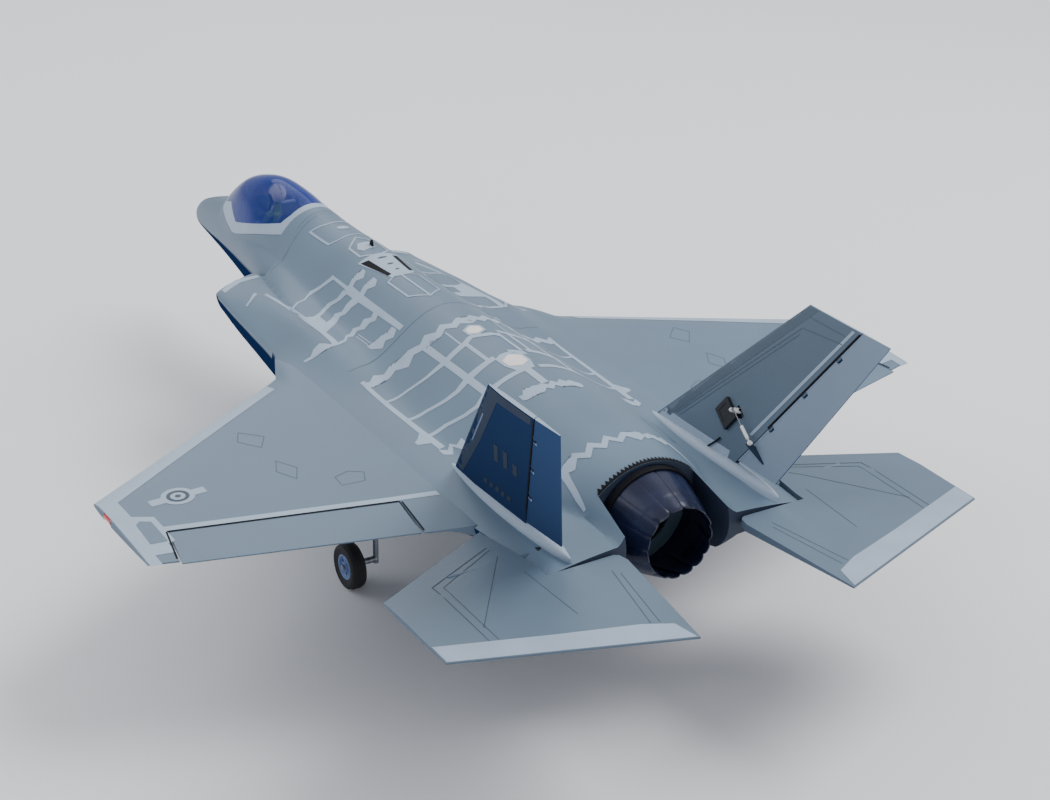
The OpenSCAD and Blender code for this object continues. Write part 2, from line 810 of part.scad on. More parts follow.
module rudder(side) {
  fin_frame(side) {
    color("#8291a2")
      difference() {
        intersection() {
          union() {
            skin([
              [[-2.3, hinge_y0 + 6.2, 8], [-0.5, 394.6, 8], [0.5, 394.6, 8], [2.3, hinge_y0 + 6.2, 8]],
              [[-1.5, 434, fin_h], [-0.4, 464.2, fin_h], [0.4, 464.2, fin_h], [1.5, 434, fin_h]]
            ]);
            hinge_frame()
              cylinder(h = hinge_len + 4, r1 = 2.4, r2 = 1.6);
          }
          translate([-10, 0, 8])
            cube([20, 600, fin_h - 8]);
        }
        hinge_frame() {
          cylinder(h = 158, r = rudder_pin_r + run_fit);
          for (z = lug_z)
            translate([-4, -5, z - 0.6])
              cube([8, 8.2, 6.2]);
        }
      }
    color("#1a1c1f")
      hinge_frame()
        difference() {
          hull() {
            translate([-1.5, 2.6, link_z - 0.8])
              cube([1, 17, 1.6]);
            translate([-arm_len, 0, link_z - 0.8])
              cylinder(h = 1.6, r = 1.9);
          }
          translate([-arm_len, 0, link_z - 3])
            cylinder(h = 6, r = rod_r + run_fit);
          translate([0, 0, link_z - 3])
            cylinder(h = 6, r = 2.3);
        }
  }
}
module rudder_left() rudder(1);
module rudder_right() rudder(-1);

module rudder_servo(side) {
  color("#17191c")
    fin_frame(side)
      hinge_frame()
        difference() {
          union() {
            translate([servo_off - 4, -rod_len - 17, link_z - 20])
              cube([8, 22, 17]);
            translate([servo_off, -rod_len, link_z - 3.2])
              cylinder(h = 5, r = 1.2);
          }
          translate([servo_off - 4.2, -rod_len - 13, link_z - 17])
            cube([0.6, 13, 11]);
        }
}
module rudder_servo_left() rudder_servo(1);
module rudder_servo_right() rudder_servo(-1);

module servo_arm(side) {
  color("#e8e8e4")
    fin_frame(side)
      hinge_frame()
        translate([servo_off, -rod_len, link_z - 0.8])
          difference() {
            hull() {
              cylinder(h = 1.6, r = 2.6);
              translate([-arm_len, 0, 0])
                cylinder(h = 1.6, r = 1.8);
            }
            translate([0, 0, -1])
              cylinder(h = 4, r = 1.2 + run_fit);
            translate([-arm_len, 0, -1])
              cylinder(h = 4, r = rod_r + run_fit);
          }
}
module servo_arm_left() servo_arm(1);
module servo_arm_right() servo_arm(-1);

module pushrod(side) {
  // Steel wire with bent ends; the aft end carries a white clevis body.
  wire_z = link_z + 2.2;
  slope = asin(servo_off / rod_len);
  run = sqrt(rod_len * rod_len + servo_off * servo_off);
  fin_frame(side)
    hinge_frame() {
      color("#b9bec4") {
        translate([servo_off - arm_len, -rod_len, link_z - 1.6])
          cylinder(h = wire_z - link_z + 1.6 + rod_r, r = rod_r);
        translate([-arm_len, 0, link_z - 1.6])
          cylinder(h = wire_z - link_z + 1.6 + rod_r, r = rod_r);
        translate([servo_off - arm_len, -rod_len, wire_z])
          rotate([0, 0, slope])
            rotate([-90, 0, 0])
              cylinder(h = run, r = rod_r);
      }
      color("#ececea") {
        translate([servo_off - arm_len, -rod_len, wire_z])
          rotate([0, 0, slope])
            translate([0, run * 0.52, 0])
              rotate([-90, 0, 0])
                cylinder(h = run * 0.36, r = 1.5);
        translate([-arm_len, 0, wire_z - 1])
          cylinder(h = 2.2, r = 2.1);
      }
    }
}
module pushrod_left() pushrod(1);
module pushrod_right() pushrod(-1);

// Lens-shaped root fairing: [y, half width, height above the fin base].
fairing_keys = [[212, 0.6, 0.6], [232, 5, 3.6], [262, 8.5, 5], [295, 10, 5.4], [330, 9.6, 5.4],
  [360, 8, 5], [385, 5.4, 4], [398, 2.2, 2], [403, 0.5, 0.4]];
module fin_fairing(side) {
  color("#a9b6c6")
    difference() {
      fin_frame(side)
        for (k = [0:len(fairing_keys) - 2])
          hull() {
            fairing_slice(fairing_keys[k]);
            fairing_slice(fairing_keys[k + 1]);
          }
      loft(body_form, aft_stations);
      loft(body_form, [690, 744, 782]);
      fin_frame(side) {
        translate([-3.3, 218, -20])
          cube([6.6, 128, 40]);
        hinge_frame()
          translate([0, 0, -20])
            cylinder(h = 60, r = 3.4);
        translate([-5.6, 294, -20])
          cube([2.6, 18, 50]);
      }
    }
}
module fairing_slice(k) {
  translate([0, k[0], 0])
    rotate([90, 0, 0])
      linear_extrude(0.05)
        polygon(concat(
          [[k[1], -14], [k[1], -2]],
          [for (a = [15:15:165]) [k[1] * cos(a), -2 + (k[2] + 2) * sin(a)]],
          [[-k[1], -2], [-k[1], -14]]
        ));
}
module fin_fairing_left() fin_fairing(1);
module fin_fairing_right() fin_fairing(-1);

// Servo lead route in the fin frame.
lead_route = [[-4.2, 318, 17], [-4.2, 314, 12], [-4.2, 308, 6], [-4.2, 303, -1], [-4.4, 301, -8],
  [-5, 300, -14]];
lead_r = 0.8;
module lead_hole() {
  fin_frame(1)
    hull() {
      translate([-4.2, 309, 7])
        sphere(r = 2, $fn = 12);
      translate([-4.2, 303, -1])
        sphere(r = 2, $fn = 12);
      translate([-5, 300, -17])
        sphere(r = 2, $fn = 12);
    }
}
function unit(v) = v / norm(v);
function tube_ring(p, t, r, n) =
  let (u = unit(cross(t, [1, 0, 0.1])), v = cross(t, u))
  [for (i = [0:n - 1]) p + r * cos(360 * i / n) * u + r * sin(360 * i / n) * v];
module tube(route, r, n = 8) {
  m = len(route);
  skin([for (i = [0:m - 1])
    let (t = unit(route[min(i + 1, m - 1)] - route[max(i - 1, 0)]))
    tube_ring(route[i], t, r, n)]);
}
module servo_leads() {
  color("#0d0d0f")
    for (side = [-1, 1])
      fin_frame(side)
        tube(lead_route, lead_r);
}

/* ---------- stabilators ---------- */
stab_plan = [[132, 318], [249.4, 376.7], [250, 473], [71.7, 535.9], [57, 418], [59, 409], [66, 404],
  [123, 404], [124.4, 392]];
module stab(side) {
  mirror([side > 0 ? 0 : 1, 0, 0]) {
    color("#74869a")
      difference() {
        intersection() {
          skin([
            [[50, 277, wing_z + 0.8], [50, 342, wing_z + stab_half_t], [50, 545, wing_z + 0.8],
             [50, 545, wing_z - 0.8], [50, 342, wing_z - stab_half_t], [50, 277, wing_z - 0.8]],
            [[251, 377, wing_z + 0.8], [251, 405, wing_z + 2.2], [251, 474, wing_z + 0.7],
             [251, 474, wing_z - 0.7], [251, 405, wing_z - 2.2], [251, 377, wing_z - 0.8]]
          ]);
          translate([0, 0, wing_z - 20])
            linear_extrude(40)
              polygon(stab_plan);
        }
        translate([40, stab_y, wing_z])
          rotate([0, 90, 0])
            cylinder(h = 84, r = 36.5);
      }
    color("#1a1a1c")
      translate([78, stab_y, wing_z])
        rotate([0, 90, 0])
          cylinder(h = 112, r = stab_tube_r);
  }
}
module stab_left() stab(1);
module stab_right() stab(-1);
module stab_servo(side) {
  color("#1b1d20")
    mirror([side > 0 ? 0 : 1, 0, 0])
      difference() {
        union() {
          translate([62, stab_y - 18, wing_z - 8])
            cube([22, 31, 15]);
          translate([84, stab_y, wing_z])
            rotate([0, 90, 0])
              cylinder(h = 27, r = 5.5);
          translate([84, stab_y - 4, wing_z - 8])
            cube([27, 8, 5]);
        }
        translate([76, stab_y, wing_z])
          rotate([0, 90, 0])
            cylinder(h = 40, r = stab_tube_r + run_fit);
      }
}
module stab_servo_left() stab_servo(1);
module stab_servo_right() stab_servo(-1);

/* ---------- propulsion ---------- */
module intake_duct() {
  color("#22303f")
    difference() {
      both_sides()
        duct_leg(1.2);
      both_sides()
        duct_leg(0);
      translate([0, 18, fan_z])
        rotate([-90, 0, 0])
          cylinder(h = 10, r = 32.8, $fn = 28);
      translate([-120, -270, 0])
        cube([240, 16, 300]);
      lip_cut();
    }
}
module fan_housing() {
  color("#26282c")
    translate([0, 24, fan_z])
      rotate([-90, 0, 0]) {
        difference() {
          cylinder(h = 42, r = 35);
          translate([0, 0, -1])
            cylinder(h = 44, r = fan_bore_r);
        }
        difference() {
          union() {
            translate([0, 0, 27])
              cylinder(h = 13, r = 15);
            for (i = [0:4])
              rotate([0, 0, i * 72 + 18])
                translate([13.5, -0.8, 27])
                  cube([20.5, 1.6, 13]);
          }
          translate([0, 0, 20])
            cylinder(h = 30, r = 13);
        }
      }
}
module fan_motor() {
  color("#8d9298")
    translate([0, 24, fan_z])
      rotate([-90, 0, 0]) {
        translate([0, 0, 24])
          cylinder(h = 32, r = 13);
        translate([0, 0, 4])
          cylinder(h = 21, r = 1.5);
      }
}
module fan_rotor() {
  color("#303338")
    translate([0, 24, fan_z])
      rotate([-90, 0, 0])
        difference() {
          union() {
            translate([0, 0, 3])
              cylinder(h = 18, r = 14);
            translate([0, 0, -9])
              cylinder(h = 12, r1 = 4, r2 = 14);
            intersection() {
              for (i = [0:fan_blades - 1])
                rotate([0, 0, i * 360 / fan_blades])
                  translate([22, 0, 12])
                    rotate([38, 0, 0])
                      cube([24, 1.4, 17], center = true);
              translate([0, 0, -2])
                cylinder(h = 30, r = fan_bore_r - fan_tip_gap);
            }
          }
          translate([0, 0, 3.5])
            cylinder(h = 20, r = 1.5 + run_fit);
        }
}
module thrust_tube() {
  color("#d7d9d6")
    translate([0, 67.2, fan_z])
      rotate([-90, 0, 0])
        difference() {
          cylinder(h = 281, r1 = 34.2, r2 = 32.2);
          translate([0, 0, -1])
            cylinder(h = 283, r1 = 33.2, r2 = 31.2);
        }
}
module nozzle() {
  color("#1d1c22")
    translate([0, 349, fan_z])
      rotate([-90, 0, 0])
        difference() {
          rotate_extrude()
            polygon([[31.4, 0], [nozzle_base_r, 0], [nozzle_base_r, 9], [44.5, 15], [nozzle_exit_r + 6.2, 40],
              [nozzle_exit_r, 59], [nozzle_exit_r - 1.3, 59], [nozzle_exit_r + 3.4, 40], [40, 15], [31.4, 4]]);
          for (i = [0:petals - 1])
            rotate([0, 0, i * 360 / petals])
              translate([nozzle_exit_r, 0, 59])
                rotate([0, 90, 0])
                  cylinder(h = 10, r = 2.2, $fn = 3, center = true);
        }
}

/* ---------- electronics ---------- */
module battery() {
  color("#b5a024")
    translate([-17.5, -252, 98])
      cube([35, 106, 32]);
}
module speed_controller() {
  color("#2a2f36")
    translate([-12, -140, 89])
      cube([24, 56, 12]);
}

/* ---------- landing gear ---------- */
module main_retract(side) {
  color("#5a6068")
    main_frame(side)
      difference() {
        union() {
          translate([-11.7, -12.5, 8])
            cube([21.4, 24, 19.6]);
          for (x = [-11.7, 5.3])
            translate([x, -7, -6])
              cube([x < 0 ? 6.4 : 4.4, 14, 14.1]);
          translate([-11, 0, 0])
            rotate([0, 90, 0])
              cylinder(h = 20, r = pivot_pin_r);
        }
        translate([-4, -20, 14])
          cube([8, 40, 6]);
      }
}
module main_retract_left() main_retract(1);
module main_retract_right() main_retract(-1);

main_drop = wing_z + main_pivot[2] - main_tyre_r;
module main_leg(side) {
  color("#9aa1a8")
    difference() {
      union() {
        main_frame(side) {
          translate([-4.8, 0, 0])
            rotate([0, 90, 0])
              cylinder(h = 9.6, r = 5.5);
          translate([0, 0, -60])
            cylinder(h = 58, r = 3.6);
          translate([0, 0, -main_drop - 4])
            cylinder(h = main_drop - 40, r = 2.6);
        }
        mirror([side > 0 ? 0 : 1, 0, 0])
          translate([main_pivot[0], main_pivot[1], main_tyre_r])
            rotate([0, 90, 0])
              cylinder(h = main_axle_x - main_pivot[0] - main_tyre_w / 2 - 1, r = 3);
        mirror([side > 0 ? 0 : 1, 0, 0])
          translate([main_pivot[0], main_pivot[1], main_tyre_r])
            rotate([0, 90, 0])
              cylinder(h = main_axle_x - main_pivot[0] + 7.5, r = axle_r);
        mirror([side > 0 ? 0 : 1, 0, 0])
          translate([main_axle_x + 6.6, main_pivot[1], main_tyre_r])
            rotate([0, 90, 0])
              cylinder(h = 1.6, r = 2.6);
      }
      main_frame(side)
        translate([-8, 0, 0])
          rotate([0, 90, 0])
            cylinder(h = 16, r = pivot_pin_r + run_fit);
    }
}
module main_leg_left() main_leg(1);
module main_leg_right() main_leg(-1);

module tyre(r, w, bead) {
  rotate_extrude()
    polygon([
      [bead, -w / 2 + 1.5], [r * 0.82, -w / 2], [r * 0.94, -w / 2 + 1.2], [r, -w / 2 + w * 0.28],
      [r, w / 2 - w * 0.28], [r * 0.94, w / 2 - 1.2], [r * 0.82, w / 2], [bead, w / 2 - 1.5]
    ]);
}
module rim(r, w) {
  difference() {
    rotate_extrude()
      polygon([
        [axle_r + run_fit, -w / 2 + 1], [4, -w / 2 + 1], [5, -w / 2 + 3], [r - 3, -w / 2 + 3],
        [r - 1.6, -w / 2 + 1], [r, -w / 2 + 1], [r, w / 2 - 1], [r - 1.6, w / 2 - 1],
        [r - 3, w / 2 - 3], [5, w / 2 - 3], [4, w / 2 - 1], [axle_r + run_fit, w / 2 - 1]
      ]);
    for (i = [0:5])
      rotate([0, 0, i * 60])
        translate([(r + 2.6) / 2, 0, -w])
          cylinder(h = 2 * w, r = r * 0.14, $fn = 24);
  }
}
module main_tyre(side) {
  color("#111214")
    main_axle_frame(side)
      tyre(main_tyre_r, main_tyre_w, main_tyre_r * 0.55);
}
module main_rim(side) {
  color("#5c7192")
    main_axle_frame(side)
      rim(main_tyre_r * 0.55, main_tyre_w - 1);
}
module main_tyre_left() main_tyre(1);
module main_tyre_right() main_tyre(-1);
module main_rim_left() main_rim(1);
module main_rim_right() main_rim(-1);

module nose_retract() {
  color("#5a6068")
    translate([0, nose_pivot[1], nose_pivot[2]])
      union() {
        translate([-14, -10, 8])
          cube([28, 21, 24]);
        for (x = [-14, 6.3])
          translate([x, -7, -6])
            cube([7.7, 14, 14.1]);
        translate([-12, 0, 0])
          rotate([0, 90, 0])
            cylinder(h = 24, r = pivot_pin_r);
      }
}
module nose_leg() {
  color("#9aa1a8")
    translate([0, nose_pivot[1], nose_pivot[2]])
      difference() {
        union() {
          translate([-5.8, 0, 0])
            rotate([0, 90, 0])
              cylinder(h = 11.6, r = 5.5);
          translate([0, 0, -46])
            cylinder(h = 44, r = 4);
          translate([0, 0, -66])
            cylinder(h = 22, r = 2.2);
        }
        translate([-10, 0, 0])
          rotate([0, 90, 0])
            cylinder(h = 20, r = pivot_pin_r + run_fit);
      }
}
fork_gap = nose_tyre_w / 2 + 0.8;
module nose_fork() {
  color("#9aa1a8")
    translate([0, nose_pivot[1], 0])
      difference() {
        union() {
          translate([0, 0, 44])
            cylinder(h = 20, r = 4.2);
          translate([-fork_gap - 2.2, -4, 39.5])
            cube([2 * fork_gap + 4.4, 8, 5]);
          for (x = [-fork_gap - 2.2, fork_gap])
            hull() {
              translate([x, -4, 39.5])
                cube([2.2, 8, 4]);
              translate([x, 0, nose_tyre_r])
                rotate([0, 90, 0])
                  cylinder(h = 2.2, r = 3.6);
            }
          translate([-fork_gap - 1, 0, nose_tyre_r])
            rotate([0, 90, 0])
              cylinder(h = 2 * fork_gap + 2, r = axle_r);
        }
        translate([0, 0, 45.2])
          cylinder(h = 30, r = 2.2 + run_fit);
      }
}
module nose_tyre() {
  color("#111214")
    translate([0, nose_pivot[1], nose_tyre_r])
      rotate([0, 90, 0])
        tyre(nose_tyre_r, nose_tyre_w, nose_tyre_r * 0.55);
}
module nose_rim() {
  color("#5c7192")
    translate([0, nose_pivot[1], nose_tyre_r])
      rotate([0, 90, 0])
        rim(nose_tyre_r * 0.55, nose_tyre_w - 1);
}

nose_cone();
forward_fuselage();
centre_fuselage();
aft_fuselage();
cockpit_tub();
ejection_seat();
pilot_body();
pilot_head();
pilot_helmet();
pilot_visor();
canopy_glass();
canopy_frame();
wing_left();
wing_right();
nav_light_left();
nav_light_right();
flaperon_left();
flaperon_right();
flaperon_servo_left();
flaperon_servo_right();
fin_left();
fin_right();
fin_fairing_left();
fin_fairing_right();
rudder_left();
rudder_right();
rudder_hinge_pins();
rudder_servo_left();
rudder_servo_right();
servo_arm_left();
servo_arm_right();
pushrod_left();
pushrod_right();
servo_leads();
stab_left();
stab_right();
stab_servo_left();
stab_servo_right();
intake_duct();
fan_housing();
fan_motor();
fan_rotor();
thrust_tube();
nozzle();
battery();
speed_controller();
antenna();
main_retract_left();
main_retract_right();
main_leg_left();
main_leg_right();
main_tyre_left();
main_tyre_right();
main_rim_left();
main_rim_right();
nose_retract();
nose_leg();
nose_fork();
nose_tyre();
nose_rim();
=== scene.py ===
"""Radio-controlled foam jet model, dressed over its CAD frame. Nose toward -Y, port side +X.

Lengths are in millimetres and meet MM where they enter Blender. A station is the distance aft of the nose
tip, so y = NOSE_Y + station. Section and outline heights are counted from the wing plane, WING_Z.
"""

import json
import math

import bmesh
import bpy
from mathutils import Matrix, Vector


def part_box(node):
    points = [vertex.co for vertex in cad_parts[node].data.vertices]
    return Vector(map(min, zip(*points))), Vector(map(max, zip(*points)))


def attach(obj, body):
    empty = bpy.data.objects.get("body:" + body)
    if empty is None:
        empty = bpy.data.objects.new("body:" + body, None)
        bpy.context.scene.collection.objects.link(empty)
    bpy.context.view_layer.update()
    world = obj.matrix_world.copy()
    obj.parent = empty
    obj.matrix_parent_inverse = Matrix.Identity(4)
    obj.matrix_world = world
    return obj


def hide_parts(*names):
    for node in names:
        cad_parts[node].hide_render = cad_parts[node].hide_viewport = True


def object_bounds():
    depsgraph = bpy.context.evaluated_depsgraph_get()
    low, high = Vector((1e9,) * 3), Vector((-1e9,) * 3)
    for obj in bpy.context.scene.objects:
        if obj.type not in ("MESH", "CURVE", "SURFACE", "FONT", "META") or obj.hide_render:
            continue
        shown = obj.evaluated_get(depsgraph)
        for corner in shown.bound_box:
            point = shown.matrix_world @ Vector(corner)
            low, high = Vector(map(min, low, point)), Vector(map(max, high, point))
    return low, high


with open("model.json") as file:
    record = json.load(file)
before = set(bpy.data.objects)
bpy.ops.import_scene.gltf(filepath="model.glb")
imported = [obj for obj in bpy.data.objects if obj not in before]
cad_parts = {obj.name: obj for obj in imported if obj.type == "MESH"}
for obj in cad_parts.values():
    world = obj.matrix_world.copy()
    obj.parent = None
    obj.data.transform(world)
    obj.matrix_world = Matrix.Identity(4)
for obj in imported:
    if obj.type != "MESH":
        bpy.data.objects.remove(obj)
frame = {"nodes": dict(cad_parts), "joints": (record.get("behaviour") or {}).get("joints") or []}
cad_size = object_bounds()

MM = 0.001
MIDDLE = 500  # half of 1000 mm to the metre: turns the sum of two edges into their middle
low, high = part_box("wing_left")
WING_Z = MIDDLE * (low[2] + high[2])
NOSE_Y = 1000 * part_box("nose_cone")[0][1]
low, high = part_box("nozzle")
FAN_Z = MIDDLE * (low[2] + high[2])
NOZZLE_Y = 1000 * low[1]
BELLY_Z = 1000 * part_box("centre_fuselage")[0][2]
SIDES = ((1, "left"), (-1, "right"))
BODY_START, NOSE_END = 276, 312  # stations where the body sections begin and the nose sections end
SPINE_HALF = 60  # half width of the nose part where the two overlap
WING_ROOT, TIP_X = 128.3, 379
STAB_Y, BOOM_R = 370, 35  # stabilator pivot and the round end of the tail boom about it
DECK_END = 358  # y of the rear edge of the deck, above the nozzle
FIN_X, FIN_Z, FIN_H = 100.6, 9, 154  # fin root, above the wing plane, and fin height along its slope
CANT = math.radians(19.3)

# ---------- materials ----------


def material(name, colour, rough=0.5, metal=0.0, vary=0.12, scale=60.0, bump=0.06, fine=900.0,
             shade_under=None, coat=0.0, see=None, streak=0.0, shine=0.5):
    """Procedural finish: broad noise moves the colour and the roughness, and fine noise the relief.

    The colour given for faces that look down is painted shade, standing in for the shade under the model, and
    such faces lose their specular glint too; see is a clear film's cover face on and at its edge.
    """
    m = bpy.data.materials.new(name)
    m.use_nodes = True
    tree = m.node_tree
    shader = tree.nodes["Principled BSDF"]
    join = tree.links.new

    def node(kind, **values):
        made = tree.nodes.new("ShaderNode" + kind)
        for key, value in values.items():
            made.inputs[key.replace("_", " ")].default_value = value
        return made

    def spread(source, **values):
        made = node("MapRange", **values)
        join(source, made.inputs["Value"])
        return made

    def mixed(first, blend="MIX"):
        made = node("Mix")
        made.data_type = "RGBA"
        made.blend_type = blend
        join(first, made.inputs["A"])
        return made

    place = node("TexCoord").outputs["Object"]
    broad = node("TexNoise", Scale=scale, Detail=6.0)
    small = node("TexNoise", Scale=fine, Detail=3.0)
    join(place, broad.inputs["Vector"])
    join(place, small.inputs["Vector"])
    ramp = node("ValToRGB")
    for stop, spot, share in zip(ramp.color_ramp.elements, (0.32, 0.68), (1 - vary, 1 + vary)):
        stop.position = spot
        stop.color = [min(1, c * share) for c in colour] + [1]
    join(broad.outputs["Fac"], ramp.inputs["Fac"])
    tint = ramp.outputs["Color"]
    if streak:
        lines = node("TexWave", Scale=streak, Distortion=3.0, Detail=3.0)
        join(place, lines.inputs["Vector"])
        mix = mixed(tint, "MULTIPLY")
        mix.inputs["Factor"].default_value = 0.25
        join(lines.outputs["Color"], mix.inputs["B"])
        tint = mix.outputs["Result"]
    # Painted shade: faces that look down are blended toward the shade colour and their specular is turned
    # down.
    if shade_under:
        split = node("SeparateXYZ")
        join(node("NewGeometry").outputs["Normal"], split.inputs["Vector"])
        step = spread(split.outputs["Z"], From_Min=0.02, From_Max=-0.05)
        step.interpolation_type = "SMOOTHSTEP"
        mix = mixed(tint)
        join(step.outputs["Result"], mix.inputs["Factor"])
        mix.inputs["B"].default_value = list(shade_under) + [1]
        tint = mix.outputs["Result"]
        glint = spread(step.outputs["Result"], To_Min=shine, To_Max=0.0)
        join(glint.outputs["Result"], shader.inputs["Specular IOR Level"])
    join(tint, shader.inputs["Base Color"])
    gloss = spread(broad.outputs["Fac"], To_Min=max(0.02, rough - 0.07), To_Max=min(1.0, rough + 0.09))
    join(gloss.outputs["Result"], shader.inputs["Roughness"])
    relief = node("Bump", Strength=bump, Distance=0.0006)
    join(small.outputs["Fac"], relief.inputs["Height"])
    join(relief.outputs["Normal"], shader.inputs["Normal"])
    shader.inputs["Metallic"].default_value = metal
    shader.inputs["Specular IOR Level"].default_value = shine
    if coat:
        shader.inputs["Coat Weight"].default_value = coat
        shader.inputs["Coat Roughness"].default_value = 0.08
    if see:
        shader.inputs["IOR"].default_value = 1.22
        cover = spread(node("LayerWeight", Blend=0.5).outputs["Facing"],
                       From_Min=0.28, From_Max=0.64, To_Min=see[0], To_Max=see[1])
        join(cover.outputs["Result"], shader.inputs["Alpha"])
    return m


# The navy here, and the colours for faces that look down in the foam, fin, rudder and stabilator paints, are
# painted shade.
SHADE_NAVY = (0.008, 0.022, 0.072)
GREY = (0.118, 0.178, 0.244)
PALE = (0.335, 0.415, 0.520)
COATS = dict(rough=0.5, vary=0.05, bump=0.10, fine=700)
foam = material("foam_paint", GREY, scale=14, shade_under=SHADE_NAVY, **COATS)
foam_side = material("fin_paint", (0.092, 0.138, 0.190), scale=14, shade_under=(0.020, 0.042, 0.105), **COATS)
rudder_paint = material("rudder_paint", (0.210, 0.275, 0.365), scale=14, shade_under=(0.040, 0.075, 0.170), **COATS)
stab_paint = material("stab_paint", (0.110, 0.162, 0.220), scale=14, shade_under=SHADE_NAVY, **(COATS | {"vary": 0.06}))
pale = material("pale_paint", PALE, scale=40, **COATS)
# Lighter nose tone: a painted highlight.
nose_highlight_paint = material("nose_painted_highlight", (0.190, 0.258, 0.330), scale=14, **COATS)
pale_deep = material("pale_band", (0.320, 0.395, 0.495), scale=40, **COATS)
cream = material("cream_patch", (0.78, 0.72, 0.69), 0.5, vary=0.04, scale=50, bump=0.08)
line_dark = material("seam_line", (0.055, 0.080, 0.110), 0.7, vary=0.15, scale=90)
line_soft = material("faint_line", (0.072, 0.110, 0.152), 0.65, vary=0.12, scale=90)
band_dark = material("edge_band", (0.070, 0.105, 0.145), 0.55, vary=0.06, scale=40)
# Outboard fin edge band: the band's own tone, darkened to navy as painted shade for the outboard faces.
band_navy_painted_shade = material("edge_band_navy", (0.010, 0.020, 0.050), 0.5, vary=0.08, scale=40)
bar_navy = material("bar_mark", (0.016, 0.026, 0.050), 0.55, vary=0.1, scale=60)
black = material("matt_black", (0.005, 0.005, 0.007), 0.6, vary=0.3, scale=120, bump=0.15, shine=0.12)
gloss_black = material("nozzle_gloss", (0.009, 0.013, 0.040), 0.24, vary=0.35, scale=45, bump=0.12,
                       fine=300, shine=0.4)
painted_shade_foam = material("shaded_foam", (0.010, 0.020, 0.046), 0.65, vary=0.15, scale=60, bump=0.2)
horn_navy = material("horn_plastic", (0.010, 0.022, 0.055), 0.45, vary=0.15, scale=200)
glass = material("canopy_tint", (0.012, 0.034, 0.210), 0.08, vary=0.06, scale=25, bump=0.004,
                 see=(0.09, 0.88), shine=0.3)
tub_grey = material("cockpit_grey", (0.085, 0.110, 0.215), 0.7, vary=0.15, scale=120)
panel_black = material("panel_black", (0.012, 0.013, 0.016), 0.45, vary=0.3, scale=300, bump=0.2)
seat_blue = material("seat_cloth", (0.170, 0.215, 0.350), 0.8, vary=0.2, scale=220, bump=0.5, fine=1600)
suit = material("flight_suit", (0.170, 0.310, 0.085), 0.85, vary=0.2, scale=180, bump=0.6, fine=1400)
webbing = material("harness_webbing", (0.72, 0.74, 0.76), 0.8, vary=0.1, scale=260, bump=0.5, fine=2000)
skin = material("face_paint", (0.56, 0.35, 0.25), 0.6, vary=0.06, scale=160)
helmet_paint = material("helmet_paint", (0.90, 0.82, 0.92), 0.28, vary=0.04, scale=60, coat=0.5)
visor_black = material("visor_black", (0.008, 0.008, 0.010), 0.12, vary=0.3, scale=90, coat=0.8)
steel = material("rod_steel", (0.22, 0.23, 0.26), 0.32, metal=1.0, vary=0.08, scale=400, streak=90)
metal_grey = material("gear_metal", (0.40, 0.43, 0.48), 0.38, metal=0.9, vary=0.08, scale=200, streak=60)
white_plastic = material("arm_white", (0.80, 0.79, 0.76), 0.42, vary=0.05, scale=200)
servo_black = material("servo_case", (0.010, 0.011, 0.014), 0.42, vary=0.2, scale=300, bump=0.25)
rubber = material("tyre_rubber", (0.012, 0.012, 0.014), 0.72, vary=0.25, scale=260, bump=0.5, fine=1200)
hub_paint = material("hub_paint", (0.13, 0.20, 0.40), 0.42, vary=0.08, scale=200)
lamp_red = material("lamp_red", (0.62, 0.006, 0.006), 0.15, vary=0.1, scale=200, coat=0.8)
lamp_green = material("lamp_green", (0.006, 0.42, 0.075), 0.15, vary=0.1, scale=200, coat=0.8)
duct_paint = material("duct_plastic", (0.028, 0.045, 0.080), 0.45, vary=0.12, scale=60)
fan_black = material("fan_plastic", (0.016, 0.018, 0.022), 0.3, vary=0.2, scale=150)
# Thrust tube film: a dark film, darkened further as painted shade for the inside of the tail pipe.
tube_film_painted_shade = material("tube_film_painted_shade", (0.008, 0.009, 0.012), 0.6, vary=0.06, scale=80)
pack_yellow = material("pack_film", (0.42, 0.33, 0.018), 0.28, vary=0.08, scale=90, coat=0.4)
board_dark = material("controller_film", (0.020, 0.026, 0.036), 0.4, vary=0.2, scale=200)
retract_grey = material("retract_case", (0.035, 0.040, 0.046), 0.45, vary=0.15, scale=250)

# ---------- body surface, the same section keys as the part ----------
# Each row is one section value as [station, value] keys: half width, side height, top and its two exponents,
# height and half width of the first dome on top, height, half width and exponent of the second, keel and
# its exponent, depth and half width of the belly dome, shoulder swell.
NOSE_FORM = [
    [[0, 2], [4, 5], [21, 10], [72, 19], [110, 26], [150, 33], [189, 40], [230, 48], [269, 55], [312, 60]],
    [[0, -31], [21, -33], [72, -28], [110, -22], [189, -12], [269, -2], [312, -1]],
    [[0, -31], [4, -22], [21, -10], [41, -1], [72, 10], [105, 19], [180, 25], [235, 28], [289, 32],
     [312, 33]],
    [[0, 2], [100, 2.4], [200, 3], [312, 3]],
    [[0, 0.5], [100, 0.5], [200, 0.42], [312, 0.42]],
    [[0, 0], [312, 0]],
    [[0, 50], [312, 50]],
    [[100, 0], [108, 4], [124, 18], [158, 37], [193, 47], [220, 50], [255, 47], [289, 41], [312, 38]],
    [[100, 22], [124, 27], [158, 33], [193, 37], [220, 39], [255, 40], [289, 42], [312, 46]],
    [[100, 0.65], [240, 0.65], [289, 0.9], [312, 1.1]],
    [[0, -33], [4, -37], [21, -39], [83, -42], [124, -45], [180, -51], [235, -58], [312, -65]],
    [[0, 2], [312, 2]],
    [[0, 0], [312, 0]],
    [[0, 50], [312, 50]],
    [[0, 0], [312, 0]],
]
